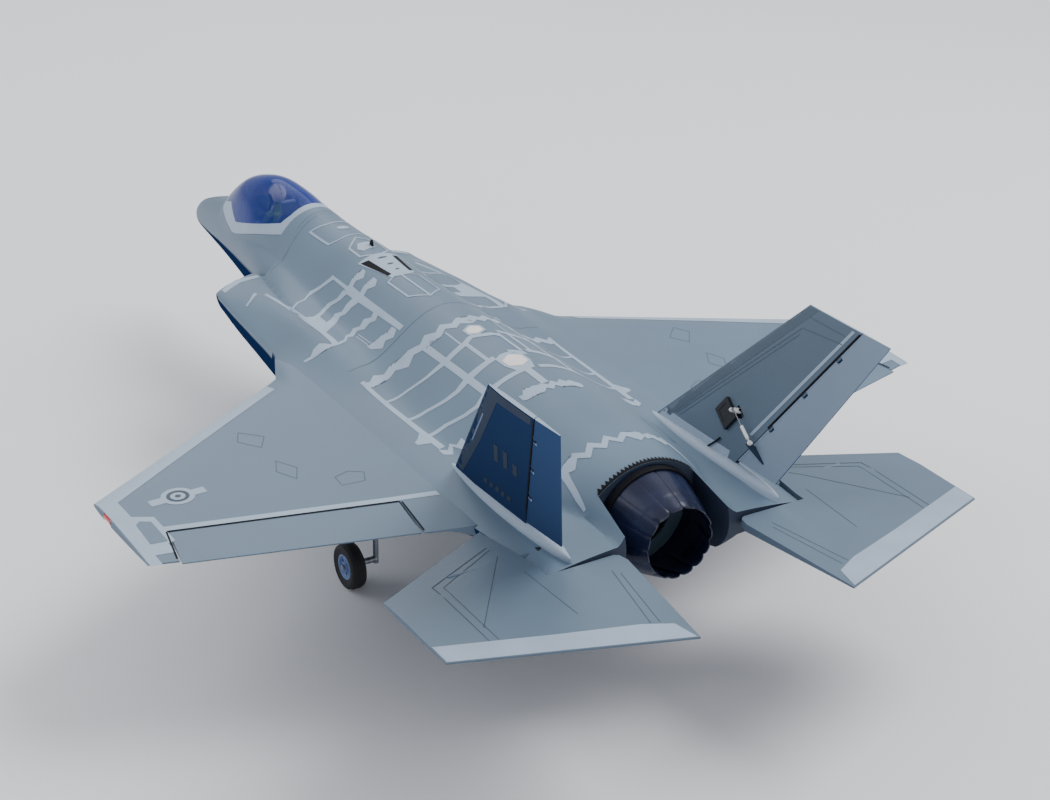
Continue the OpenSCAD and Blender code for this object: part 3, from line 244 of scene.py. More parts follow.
BODY_FORM = [
    [[276, 109], [303, 111], [344, 115], [400, 119], [462, 125], [490, 137], [513, 148], [606, 146],
     [744, 137], [847, 131], [896, 126], [947, 121]],
    [[276, -1], [303, -2], [344, -3], [400, -3], [462, 0], [947, 0]],
    [[276, 7], [303, 11], [344, 19], [400, 25], [469, 26], [537, 26], [641, 23], [744, 21], [847, 17],
     [896, 15], [947, 8]],
    [[276, 2.4], [400, 2.2], [947, 2.2]],
    [[276, 0.6], [400, 0.7], [513, 0.9], [847, 0.8], [947, 0.7]],
    [[276, 25], [303, 22], [344, 15], [400, 8], [469, 3], [537, 0], [947, 0]],
    [[276, 57], [303, 61], [344, 72], [400, 83], [469, 90], [537, 96], [947, 96]],
    [[276, 44], [303, 39], [344, 34], [400, 36], [469, 37], [537, 39], [641, 39], [744, 38], [847, 33],
     [896, 31], [947, 18]],
    [[276, 41], [303, 45], [344, 52], [400, 59], [469, 69], [537, 79], [641, 92], [744, 94], [847, 78],
     [896, 59], [947, 55]],
    [[276, 0.9], [303, 1.1], [344, 1.3], [400, 1.5], [537, 1.8], [641, 1.8], [744, 1.6], [847, 1.2],
     [896, 0.85], [947, 0.8]],
    [[276, -60], [344, -68], [413, -72], [469, -73], [606, -73], [710, -66], [780, -56], [847, -36],
     [896, -22], [947, -16]],
    [[276, 1.8], [303, 1.9], [344, 2], [400, 2.2], [469, 2.6], [606, 2.6], [780, 2.4], [847, 2.2],
     [947, 2]],
    [[276, 0], [640, 0], [710, 3], [780, 10], [847, 20], [896, 31], [947, 31]],
    [[276, 50], [700, 55], [847, 58], [947, 56]],
    [[276, 0], [318, 0], [380, 4], [430, 7], [500, 8], [560, 4], [620, 0], [947, 0]],
]
# Lower edges of the lift-off canopy and of its clear part: [station, height].
HATCH_LINE = [[104, 17], [140, 10], [168, 6.5], [180, 9], [237, 28.5], [290, 44.5], [296, 62], [303, 74]]
GLASS_LINE = [[109, 20], [146, 32], [177, 21], [239, 40], [280, 53], [288, 63], [293, 76]]


def curve(keys, x):
    """Smooth curve through [position, value] keys."""
    x = min(max(x, keys[0][0]), keys[-1][0])
    k = 0
    while k < len(keys) - 2 and x > keys[k + 1][0]:
        k += 1

    def slope(i):
        a, b = max(i - 1, 0), min(i + 1, len(keys) - 1)
        return (keys[b][1] - keys[a][1]) / (keys[b][0] - keys[a][0])

    h = keys[k + 1][0] - keys[k][0]
    u = (x - keys[k][0]) / h
    return ((2 * u**3 - 3 * u**2 + 1) * keys[k][1] + (u**3 - 2 * u**2 + u) * h * slope(k)
            + (3 * u**2 - 2 * u**3) * keys[k + 1][1] + (u**3 - u**2) * h * slope(k + 1))


def dome(c, a, b):
    """Rounded hump, 1 in the middle and 0 from c = 1 on."""
    return (1 - abs(c)**a)**b if abs(c) < 1 else 0.0


section_store = {}


def section(form, st):
    """All fifteen section values at one station."""
    key = (form is NOSE_FORM, round(st, 3))
    if key not in section_store:
        section_store[key] = [curve(k, st) for k in form]
    return section_store[key]


def top_z(form, st, x):
    w, zc, zt, nt, pt, b, wb, c, wc, ec = section(form, st)[:10]
    g = section(form, st)[14]
    return (zc + (zt - zc) * dome(x / w, nt, pt) + b * dome(x / wb, 3, 0.5)
            + c * dome(x / wc, 2, ec) + g * math.exp(-((abs(x) - 92) / 20)**2))


def low_z(form, st, x):
    s = section(form, st)
    w, zc, zk, n, k, wk = s[0], s[1], s[10], s[11], s[12], s[13]
    return zc - (zc - zk) * dome(x / w, n, 1 / n) - k * dome(x / wk, 2, 0.7)


def deck(x, st):
    """Height of the top surface above the ground at a place on the fuselage."""
    form = NOSE_FORM if st < BODY_START or (st < NOSE_END and abs(x) < SPINE_HALF) else BODY_FORM
    w = section(form, st)[0]
    return WING_Z + top_z(form, st, max(-w, min(w, x)))


def body_ring(form, st, inset=0.0):
    upper, lower = 96, 48
    w, zc = section(form, st)[:2]
    y = NOSE_Y + st
    ring = []
    for i in range(upper + 1):
        x = w * math.sin(math.radians(90 - 180 * i / upper))
        ring.append((x * (w - inset) / w, y, WING_Z + max(zc, top_z(form, st, x) - inset)))
    for i in range(1, lower):
        x = -w * math.sin(math.radians(90 - 180 * i / lower))
        ring.append((x * (w - inset) / w, y, WING_Z + min(zc - 0.01, low_z(form, st, x) + inset)))
    return ring


# ---------- mesh helpers, all in millimetres ----------


def new_object(name, verts, faces, mat=None):
    mesh = bpy.data.meshes.new(name)
    mesh.from_pydata([tuple(c * MM for c in v) for v in verts], [], faces)
    mesh.update()
    obj = bpy.data.objects.new(name, mesh)
    bpy.context.scene.collection.objects.link(obj)
    if mat:
        mesh.materials.append(mat)
    return obj


def outward(obj):
    bm = bmesh.new()
    bm.from_mesh(obj.data)
    bmesh.ops.recalc_face_normals(bm, faces=bm.faces)
    bm.to_mesh(obj.data)
    bm.free()
    return obj


def shade(obj, angle=32):
    obj.data.shade_smooth()
    obj.data.set_sharp_from_angle(angle=math.radians(angle))
    return obj


def skin_over(name, rings, mat=None):
    """Closed solid over equal rings."""
    n = len(rings[0])
    verts = [v for ring in rings for v in ring]
    faces = []
    for i in range(len(rings) - 1):
        for j in range(n):
            a, b = i * n + j, i * n + (j + 1) % n
            faces.append((a, b, b + n, a + n))
    faces.append(tuple(range(n)))
    faces.append(tuple(reversed(range((len(rings) - 1) * n, len(rings) * n))))
    return outward(new_object(name, verts, faces, mat))


def prism(name, outline, lo, hi, axis="x"):
    """Straight prism: outline pairs are (y, z) for axis x and (x, y) for axis z."""
    n = len(outline)
    verts = []
    for level in (lo, hi):
        for a, b in outline:
            verts.append((level, a, b) if axis == "x" else (a, b, level))
    faces = [tuple(range(n)), tuple(reversed(range(n, 2 * n)))]
    faces += [(i, (i + 1) % n, (i + 1) % n + n, i + n) for i in range(n)]
    return outward(new_object(name, verts, faces))


def block(name, lo, hi, turn=None):
    pts = [(lo[0], lo[1]), (hi[0], lo[1]), (hi[0], hi[1]), (lo[0], hi[1])]
    obj = prism(name, pts, lo[2], hi[2], "z")
    if turn:
        obj.data.transform(turn)
    return obj


def circle(sides, start=0.0):
    """Cosine and sine of even steps round a circle."""
    turns = [math.tau * i / sides + start for i in range(sides)]
    return [(math.cos(a), math.sin(a)) for a in turns]


def round_bar(name, centre_x, centre_z, y0, y1, r0, r1, sides=96, mat=None):
    rings = [[(centre_x + r * c, y, centre_z + r * s) for c, s in circle(sides)]
             for y, r in ((y0, r0), (y1, r1))]
    return skin_over(name, rings, mat)


def carve(obj, cutters, how="DIFFERENCE"):
    """Cuts solids out of obj, or keeps the part inside, and drops the cutters."""
    for c in cutters:
        step = obj.modifiers.new("carve", "BOOLEAN")
        step.operation = how
        step.solver = "EXACT"
        step.object = c
    graph = bpy.context.evaluated_depsgraph_get()
    mesh = bpy.data.meshes.new_from_object(obj.evaluated_get(graph))
    obj.modifiers.clear()
    old = obj.data
    obj.data = mesh
    bpy.data.meshes.remove(old)
    for c in cutters:
        data = c.data
        bpy.data.objects.remove(c)
        bpy.data.meshes.remove(data)
    return obj


def paint(obj, *mats):
    """Replaces the finishes of a piece."""
    obj.data.materials.clear()
    for mat in mats:
        obj.data.materials.append(mat)
    return obj


def repaint(obj, mat, test):
    """Gives a further finish to the faces whose centre, in mm, and normal pass the test."""
    obj.data.materials.append(mat)
    for poly in obj.data.polygons:
        if test(poly.center / MM, poly.normal):
            poly.material_index = len(obj.data.materials) - 1


def mirrored(obj, name):
    """Mirror image across the centre plane."""
    copy = obj.copy()
    copy.data = obj.data.copy()
    copy.name = name
    copy.data.transform(Matrix.Diagonal((-1, 1, 1, 1)))
    copy.data.flip_normals()
    bpy.context.scene.collection.objects.link(copy)
    return copy


def place(obj, body="airframe", nodes=(), slot=None):
    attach(obj, body)
    if nodes:
        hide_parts(*nodes)
    return obj


def soft_edges(obj, width, segments=2):
    step = obj.modifiers.new("edge", "BEVEL")
    step.width = width * MM
    step.segments = segments
    step.limit_method = "ANGLE"
    step.angle_limit = math.radians(40)
    return obj


def above(outline, lift=0.0):
    """Solid of everything above a side outline."""
    pts = [(NOSE_Y + st, WING_Z + z + lift) for st, z in outline]
    pts += [(NOSE_Y + outline[-1][0], WING_Z + 130), (NOSE_Y + outline[0][0], WING_Z + 130)]
    return prism("above", pts, -90, 90)


def fine_stations(a, b, step):
    count = max(2, round((b - a) / step))
    return [a + (b - a) * i / count for i in range(count + 1)]


# ---------- fuselage ----------
nose_cuts = [above(HATCH_LINE),
             block("well", (-20, NOSE_Y + 137, 60), (20, NOSE_Y + 269, WING_Z - 13.5)),
             block("cockpit_room", (-25, NOSE_Y + 138, WING_Z - 8), (25, NOSE_Y + 256, WING_Z + 40))]
front = skin_over("front_fuselage_skin",
                  [body_ring(NOSE_FORM, st) for st in [0.3, 1, 2, 4, 7] + fine_stations(11, 311.8, 4)])
carve(front, nose_cuts)
place(shade(paint(front, foam), 30), nodes=("nose_cone", "forward_fuselage"), slot="foam_body")


def mouth_ring(x, y, z, half_w, half_h, n, grow):
    ring = []
    for c, s in circle(48):
        r = (abs(c)**n + abs(s)**n)**(-1 / n)
        ring.append((x + (half_w + grow) * r * c, y, WING_Z + z + (half_h + grow) * r * s))
    return ring


# Port duct from mouth to fan: x, y, height, half width, half height, roundness.
DUCT = [(77, -290, -17, 15, 14, 3), (77, -262, -17, 15, 14, 3), (77, -236, -17.5, 16, 15, 2.8),
        (75, -200, -19, 19, 17.5, 2.5), (70, -160, -20, 21, 20, 2), (60, -120, -18, 23, 23, 2),
        (46, -85, -14, 25, 25, 2), (32, -54, -10, 27, 27, 2), (18, -28, -6, 30, 30, 2),
        (7, -4, -3.5, 32, 32, 2), (0, 12, -3, 33, 33, 2), (0, 26, -3, 33, 33, 2)]


# Frame of the port main gear well, turned to the swept leg.
LEG_SWEEP = math.radians(24.8)
main_turn = (Matrix.Translation((112 * MM, 99 * MM, (WING_Z - 28) * MM))
             @ Matrix.Rotation(LEG_SWEEP, 4, "Z"))


def lip_wedge(side):
    """Slanted cut ahead of an intake: rows of x, height, foremost and rearmost distance from BODY_START."""
    corners = [(58, 40, -8, 0), (112, 40, -8, 14), (112, -81, -8, 36), (58, -81, -8, 18)]
    verts = [(side * x, NOSE_Y + BODY_START + a, WING_Z + z) for x, z, a, b in corners]
    verts += [(side * x, NOSE_Y + BODY_START + b, WING_Z + z) for x, z, a, b in corners]
    faces = [(0, 1, 2, 3), (7, 6, 5, 4)] + [(i, i + 4, (i + 1) % 4 + 4, (i + 1) % 4) for i in range(4)]
    return outward(new_object("lip_wedge", verts, faces))


stations = fine_stations(BODY_START, 946.9, 5)
rear = skin_over("rear_fuselage_skin", [body_ring(BODY_FORM, st) for st in stations])
cuts = [block("nose_space", (-61, NOSE_Y + 260, 30), (61, NOSE_Y + NOSE_END, 300)),
        lip_wedge(1), lip_wedge(-1)]
duct_cut = skin_over("duct_cut", [mouth_ring(*row, 1.35) for row in DUCT])
cuts += [duct_cut, mirrored(duct_cut, "duct_cut_right")]
cuts.append(round_bar("tube_cut", 0, FAN_Z, 20, 352, 35.2, 33))
cuts.append(round_bar("nozzle_cut", 0, FAN_Z, NOZZLE_Y - 0.2, 470, 47.2, 47.2))
cuts.append(prism("deck_slot", [(-46, DECK_END), (46, DECK_END), (55, 470), (-55, 470)], 40, 300, "z"))
for x in (128, -170):
    cuts.append(block("side_cut", (x, -300, 0), (x + 42, 309, 300)))
cuts.append(block("belly_cut", (-170, -400, 20), (170, 470, BELLY_Z)))
boom_end = [(STAB_Y + BOOM_R * math.cos(math.radians(a)), WING_Z + BOOM_R * math.sin(math.radians(a)))
            for a in range(90, -91, -5)]
cuts.append(prism("boom_cut", [(STAB_Y, 330)] + boom_end + [(STAB_Y, 20), (500, 20), (500, 330)], -170, 170))
for lo, hi in (((-12, -13, -90), (10, 77, 29)), ((5, 60, -90), (42, 134, 29.5)),
               ((-8, 70, -90), (8, 118, 20))):
    well = block("bay", lo, hi, main_turn)
    cuts += [well, mirrored(well, "bay_right")]
carve(rear, cuts)


def in_shade(c, v):
    """Faces of the exhaust slot, of the gap round the boom's end and behind the deck, which are darkened with
    painted shade.
    """
    in_slot = c.y > 352 and abs(c.x) < 58 and abs(v.z) < 0.5 and v.x * c.x < -0.2 * abs(c.x)
    at_gap = (c.y > STAB_Y + 10 and abs(math.hypot(c.y - STAB_Y, c.z - WING_Z) - BOOM_R) < 0.5
              and abs(v.x) < 0.3)
    behind_deck = abs(c.y - DECK_END) < 0.6 and v.y > 0.9 and abs(c.x) < 48
    return in_slot or at_gap or behind_deck


repaint(paint(rear, foam), painted_shade_foam, in_shade)
place(shade(rear, 30), nodes=("centre_fuselage", "aft_fuselage"), slot="foam_body")

# ---------- canopy ----------
cabin = fine_stations(100, NOSE_END, 2.5)


def canopy_part(name, wall, edge, lift, mat, node, slot, below=()):
    """Part of the canopy shell above an outline, of the given wall thickness."""
    shell = skin_over(name, [body_ring(NOSE_FORM, st) for st in cabin])
    hollow = skin_over("hollow", [body_ring(NOSE_FORM, st, wall) for st in fine_stations(103, 311, 4)])
    carve(shell, [hollow] + [above(line) for line in below])
    carve(shell, [above(edge, lift)], "INTERSECT")
    place(shade(paint(shell, mat)), "canopy", (node,), slot)


canopy_part("canopy_frame_band", 2.6, HATCH_LINE, 0.4, pale, "canopy_frame", "foam_light", (GLASS_LINE,))
canopy_part("canopy_glass_bubble", 1.2, GLASS_LINE, 0.1, glass, "canopy_glass", "canopy_glass")

# ---------- wings ----------
WING_KEYS = [[0, 0, 0], [0.141, 2.6, 0.8], [0.346, 8.5, 2.6], [0.592, 7.3, 3.2], [0.8, 5, 2.4],
             [0.938, 2.6, 1.3], [1, 0.8, 0.6]]
ROOT_KEYS = [[k[0], k[1]] for k in WING_KEYS]
END_KEYS = [[k[0], k[2]] for k in WING_KEYS]


def wing_edges(x):
    """y of the leading edge, steep beside the body, and of the trailing edge."""
    lead = -66 + (x - WING_ROOT) * 43 / 19.7 if x <= 148 else -23 + (x - 148) * 0.619
    return lead, 308.5 - (x - WING_ROOT) * 0.297


def wing_half(x, share):
    u = min(1, max(0, (x - WING_ROOT) / (TIP_X - WING_ROOT)))
    s = math.sqrt(share)
    return max(0, curve(ROOT_KEYS, s) * (1 - u) + curve(END_KEYS, s) * u)


def wing_height(x, y, upper=True):
    """Height of the wing skin, blended into the fuselage side near the root."""
    lead, trail = wing_edges(x)
    half = wing_half(x, min(1, max(0, (y - lead) / (trail - lead))))
    blend = max(0, 1 - (x - 127.8) / 30)**2
    st = y - NOSE_Y
    beside_body = section(BODY_FORM, st)[0] > 128
    if upper:
        side = max(0.3, top_z(BODY_FORM, st, 128) if beside_body else half)
        return WING_Z + half * (1 - blend) + side * blend
    side = min(-0.3, low_z(BODY_FORM, st, 128) if beside_body else -half)
    return WING_Z - half * (1 - blend) + side * blend


def wing_section(x):
    lead, trail = wing_edges(max(x, WING_ROOT))
    shares = [(i / 40)**2 for i in range(41)]
    up = [(x, lead + (trail - lead) * s, wing_height(x, lead + (trail - lead) * s)) for s in shares]
    down = [(x, lead + (trail - lead) * s, wing_height(x, lead + (trail - lead) * s, False))
            for s in reversed(shares[1:])]
    return up + down


wing_x = [127.9, 130, 133, 136, 140, 144, 148, 153, 158, 165, 180, 210, 250, 290, 330, 355, 370, 376,
          378.2, TIP_X]
wing = skin_over("wing_skin_left", [wing_section(x) for x in wing_x])
gap = prism("gap", [(163.6, 243.3), (346.1, 193.1), (357.6, 252), (171.6, 310)],
            WING_Z - 20, WING_Z + 20, "z")
notch = block("lamp_notch", (TIP_X - 2.5, 143, WING_Z - 10), (TIP_X + 8, 157, WING_Z + 10))
paint(carve(wing, [gap, notch]), foam)
for piece, word in ((wing, "left"), (mirrored(wing, "wing_skin_right"), "right")):
    place(shade(piece, 28), nodes=(f"wing_{word}",), slot="foam_wing")


def tail_half(x, y):
    """Half thickness of the stabilator, three flats from leading edge to trailing edge."""
    u = (x - 50) / 201
    edge = [277 + 100 * u, 342 + 63 * u, 545 - 71 * u]
    half = [0.8, 5.2 - 3 * u, 0.8 - 0.1 * u]
    if y < edge[1]:
        k = (y - edge[0]) / (edge[1] - edge[0])
        return half[0] + (half[1] - half[0]) * max(0, k)
    k = (y - edge[1]) / (edge[2] - edge[1])
    return half[1] + (half[2] - half[1]) * min(1, k)


def fin_half(y, h):
    """Half thickness of the fin, in its own frame."""
    u = h / FIN_H
    lead, trail = 223.7 + 139.9 * u, 342 + 91 * u
    share = (y - lead) / (trail - lead)
    if share > 1:
        y0, y1 = 348.2 + 0.557 * h, 394.6 + 0.452 * h
        k = min(1, max(0, (y - y0) / (y1 - y0)))
        return (2.3 - 0.8 * u) * (1 - k) + 0.5 * k
    keys = [(0, 0, 0), (0.03, 1, 0.6), (0.3, 3, 1.7), (0.7, 2.9, 1.8), (1, 2.4, 1.6)]
    for a, b in zip(keys, keys[1:]):
        if share <= b[0]:
            k = max(0, (share - a[0]) / (b[0] - a[0]))
            return ((a[1] + (b[1] - a[1]) * k) * (1 - u) + (a[2] + (b[2] - a[2]) * k) * u)
    return 2.4 - 0.8 * u


def fin_point(side, across, y, h):
    """From the fin's own frame (across it, aft, up it) to the row frame."""
    x = FIN_X + across * math.cos(CANT) + h * math.sin(CANT)
    return (side * x, y, WING_Z + FIN_Z - across * math.sin(CANT) + h * math.cos(CANT))


# ---------- copies of frame pieces that only need smooth shading and paint ----------


def copy_node(name, new_name, mat, angle=30, edge=0.0):
    src = frame["nodes"][name]
    obj = src.copy()
    obj.data = src.data.copy()
    obj.name = new_name
    obj.parent = None
    obj.matrix_world = src.matrix_world.copy()
    for group in list(obj.users_collection):
        group.objects.unlink(obj)
    bpy.context.scene.collection.objects.link(obj)
    bm = bmesh.new()
    bm.from_mesh(obj.data)
    bmesh.ops.remove_doubles(bm, verts=bm.verts, dist=0.00001)
    bmesh.ops.dissolve_limit(bm, angle_limit=math.radians(0.5), verts=bm.verts, edges=bm.edges)
    bm.to_mesh(obj.data)
    bm.free()
    if obj.data.has_custom_normals:
        bpy.context.view_layer.objects.active = obj
        with bpy.context.temp_override(active_object=obj, object=obj):
            bpy.ops.mesh.customdata_custom_splitnormals_clear()
    shade(paint(obj, mat), angle)
    if edge:
        soft_edges(obj, edge)
    return obj


for side, word in SIDES:
    up = Vector((side * math.sin(CANT), 0, math.cos(CANT)))

    def on_tip(c, v):
        return v.dot(up) > 0.8

    def on_horn(c, v):
        return (side * c.x - FIN_X) * math.cos(CANT) - (c.z - WING_Z - FIN_Z) * math.sin(CANT) < -2.7

    def at_boom(c, v):
        return abs(math.hypot(c.y - STAB_Y, c.z - WING_Z) - BOOM_R - 1.5) < 0.6 and abs(v.x) < 0.4

    piece = copy_node(f"fin_{word}", f"fin_skin_{word}", foam_side, 24, 0.35)
    repaint(piece, pale, on_tip)
    place(piece, nodes=(f"fin_{word}",), slot="foam_tail")
    piece = copy_node(f"rudder_{word}", f"rudder_skin_{word}", rudder_paint, 24, 0.35)
    repaint(piece, pale, on_tip)
    repaint(piece, horn_navy, on_horn)
    place(piece, f"rudder_{word}", (f"rudder_{word}",), "foam_tail")
    piece = copy_node(f"stab_{word}", f"stabilator_skin_{word}", stab_paint, 20, 0.5)
    # Painted shade on the stabilator faces in the gap round the boom.
    repaint(piece, painted_shade_foam, at_boom)
    place(piece, f"stab_{word}", (f"stab_{word}",), "foam_tail")
    piece = copy_node(f"flaperon_{word}", f"flaperon_skin_{word}", foam, 30, 0.25)
    place(piece, f"flaperon_{word}", (f"flaperon_{word}",), "foam_wing")

# ---------- fin root fairings ----------
FAIR_KEYS = [[212, 0.6, 0.6], [232, 5, 3.6], [262, 8.5, 5], [295, 10, 5.4], [330, 9.6, 5.4], [360, 8, 5],
             [385, 5.4, 4], [398, 2.2, 2], [403, 0.5, 0.4]]  # y, half width, height
for side, word in SIDES:
    rings = []
    for y in fine_stations(212, 402.9, 4):
        w, h = (curve([[k[0], k[n]] for k in FAIR_KEYS], y) for n in (1, 2))
        arc = [(w * math.cos(math.radians(a)), -2 + (h + 2) * math.sin(math.radians(a)))
               for a in range(0, 181, 10)]
        profile = [(w, -7)] + arc + [(-w, -7)]
        rings.append([fin_point(side, a, y, b) for a, b in profile])
    lens = skin_over(f"fin_root_fairing_{word}", rings, pale_deep)
    place(shade(lens, 40), nodes=(f"fin_fairing_{word}",), slot="foam_light")

# ---------- nozzle petals ----------
PETALS = 15


def nozzle_radius(k):
    """Outer radius along the nozzle, k from 0 at the body to 1 at the exit."""
    return curve([[0, 46.6], [0.15, 46.5], [0.27, 44.3], [0.68, 37.2], [1, 31.1]], k)


verts, faces = [], []
rows, cols = 22, 10
size = (rows + 1) * (cols + 1)
span = math.tau / PETALS * 1.12  # each petal laps a little over the next
for p in range(PETALS):
    start = len(verts)
    mid = math.tau * (p + 0.5) / PETALS
    for inset in (0.0, 1.1):
        for i in range(rows + 1):
            k = i / rows
            for j in range(cols + 1):
                a = mid + span * (j / cols - 0.5)
                edge = abs(j / cols - 0.5) * 2
                lift = -0.9 * max(0, j / cols - 0.86) / 0.14 + 0.25 * math.cos(edge * math.pi / 2)
                tip = 3.4 * edge**3 if k > 0.9 else 0
                reach = k * 58.8 - tip * max(0, k - 0.9) * 10
                groove = -0.35 if k > 0.72 and (i % 2) else 0
                r = nozzle_radius(k) + lift - inset + groove
                verts.append((r * math.cos(a), NOZZLE_Y + 0.2 + reach, FAN_Z + r * math.sin(a)))
    for layer in (0, 1):
        for i in range(rows):
            for j in range(cols):
                a = start + layer * size + i * (cols + 1) + j
                quad = (a, a + 1, a + cols + 2, a + cols + 1)
                faces.append(quad if layer == 0 else quad[::-1])
    rim = [(0, j) for j in range(cols)] + [(i, cols) for i in range(rows)]
    rim += [(rows, cols - j) for j in range(cols)] + [(rows - i, 0) for i in range(rows)]
    ids = [start + i * (cols + 1) + j for i, j in rim]
    faces += [(a, a + size, b + size, b) for a, b in zip(ids, ids[1:] + ids[:1])]
nozzle = outward(new_object("nozzle_petals", verts, faces, gloss_black))
place(shade(nozzle, 35), nodes=("nozzle",), slot="nozzle_black")

teeth = 110
verts, faces = [], []
for i in range(2 * teeth):
    a = math.pi * i / teeth
    lead = NOZZLE_Y + (9.6 if i % 2 else 12.4)
    for y, r in ((lead, 47.0), (NOZZLE_Y + 16.5, 46.2), (NOZZLE_Y + 16.5, 44.9), (lead, 46.0)):
        verts.append((r * math.cos(a), y, FAN_Z + r * math.sin(a)))
for i in range(2 * teeth):
    a, b = 4 * i, 4 * ((i + 1) % (2 * teeth))
    for j in range(4):
        faces.append((a + j, b + j, b + (j + 1) % 4, a + (j + 1) % 4))
collar = outward(new_object("nozzle_toothed_collar", verts, faces, black))
place(shade(collar, 20))

# ---------- markings: thin films draped on the skin ----------


def film(name, outlines, drape, mat, body="airframe", grid=4.0, lift=0.22):
    """Paint film: each outline lies in plan and is draped by the given height function."""
    bm = bmesh.new()
    for outline in outlines:
        bm.faces.new([bm.verts.new((a, b, 0)) for a, b in outline])
    bmesh.ops.triangulate(bm, faces=bm.faces)
    for axis, way in ((0, Vector((1, 0, 0))), (1, Vector((0, 1, 0)))):
        values = [v.co[axis] for v in bm.verts]
        cut = math.ceil(min(values) / grid) * grid
        while cut < max(values):
            # The 0.013 keeps the cut off corners that lie on the grid.
            bmesh.ops.bisect_plane(bm, geom=bm.verts[:] + bm.edges[:] + bm.faces[:], dist=0.0005,
                                   plane_co=way * (cut + 0.013), plane_no=way)
            cut += grid
    bmesh.ops.triangulate(bm, faces=bm.faces)
    bmesh.ops.recalc_face_normals(bm, faces=bm.faces)
    for v in bm.verts:
        v.co = [c * MM for c in drape(v.co.x, v.co.y, lift)]
    obj = new_object(name, [], [], mat)
    bm.to_mesh(obj.data)
    bm.free()
    obj.data.shade_smooth()
    place(obj, body)


def on_deck(x, st, lift):
    e = 0.6
    dx = (deck(x + e, st) - deck(x - e, st)) / (2 * e)
    dy = (deck(x, st + e) - deck(x, st - e)) / (2 * e)
    n = Vector((-dx, -dy, 1)).normalized()
    return (x + n.x * lift, NOSE_Y + st + n.y * lift, deck(x, st) + n.z * lift)


def flip(outlines):
    return [[(-a, b) for a, b in o] for o in outlines]


def across(*points):
    """Band that runs sideways: rows of (x, station, width along the body)."""
    return [(x, st - w / 2) for x, st, w in points] + [(x, st + w / 2) for x, st, w in reversed(points)]


def along(*points):
    """Band that runs fore and aft: rows of (x, station, width across the body)."""
    return [(x - w / 2, st) for x, st, w in points] + [(x + w / 2, st) for x, st, w in reversed(points)]


def zigzag(amp, pitch, *points):
    """Sideways band whose two edges run in step, one tooth every pitch."""
    out = []
    for a, b in zip(points, points[1:]):
        count = max(1, round(abs(b[0] - a[0]) / pitch))
        for i in range(count):
            k = i / count
            way = amp if (len(out) % 2) else -amp
            out.append((a[0] + (b[0] - a[0]) * k, a[1] + (b[1] - a[1]) * k + way, a[2] + (b[2] - a[2]) * k))
    return across(*out, points[-1])


def frame_of(outline, width):
    """Closed ribbon of the given width along an outline, as separate quads with mitred corners."""
    n = len(outline)
    inner = []
    area = sum(outline[i - 1][0] * outline[i][1] - outline[i][0] * outline[i - 1][1] for i in range(n))
    turn = 1 if area > 0 else -1
    for i in range(n):
        p, q, r = outline[i - 1], outline[i], outline[(i + 1) % n]
        a = Vector((q[0] - p[0], q[1] - p[1])).normalized()
        b = Vector((r[0] - q[0], r[1] - q[1])).normalized()
        na, nb = Vector((-a.y, a.x)) * turn, Vector((-b.y, b.x)) * turn
        m = (na + nb) / max(0.3, 1 + na.dot(nb))
        inner.append((q[0] + m.x * width, q[1] + m.y * width))
    return [[outline[i], outline[(i + 1) % n], inner[(i + 1) % n], inner[i]] for i in range(n)]


def ribbon(points, width):
    """Open ribbon along a path, as quads."""
    quads = []
    for p, q in zip(points, points[1:]):
        d = Vector((q[0] - p[0], q[1] - p[1])).normalized() * width / 2
        e = d * 0.6
        quads.append([(p[0] - d.y - e.x, p[1] + d.x - e.y), (p[0] + d.y - e.x, p[1] - d.x - e.y),
                      (q[0] + d.y + e.x, q[1] - d.x + e.y), (q[0] - d.y + e.x, q[1] + d.x + e.y)])
    return quads


def disc(cx, cy, rx, ry, sides=24, turn=0.0):
    return [(cx + rx * c, cy + ry * s) for c, s in circle(sides, turn)]


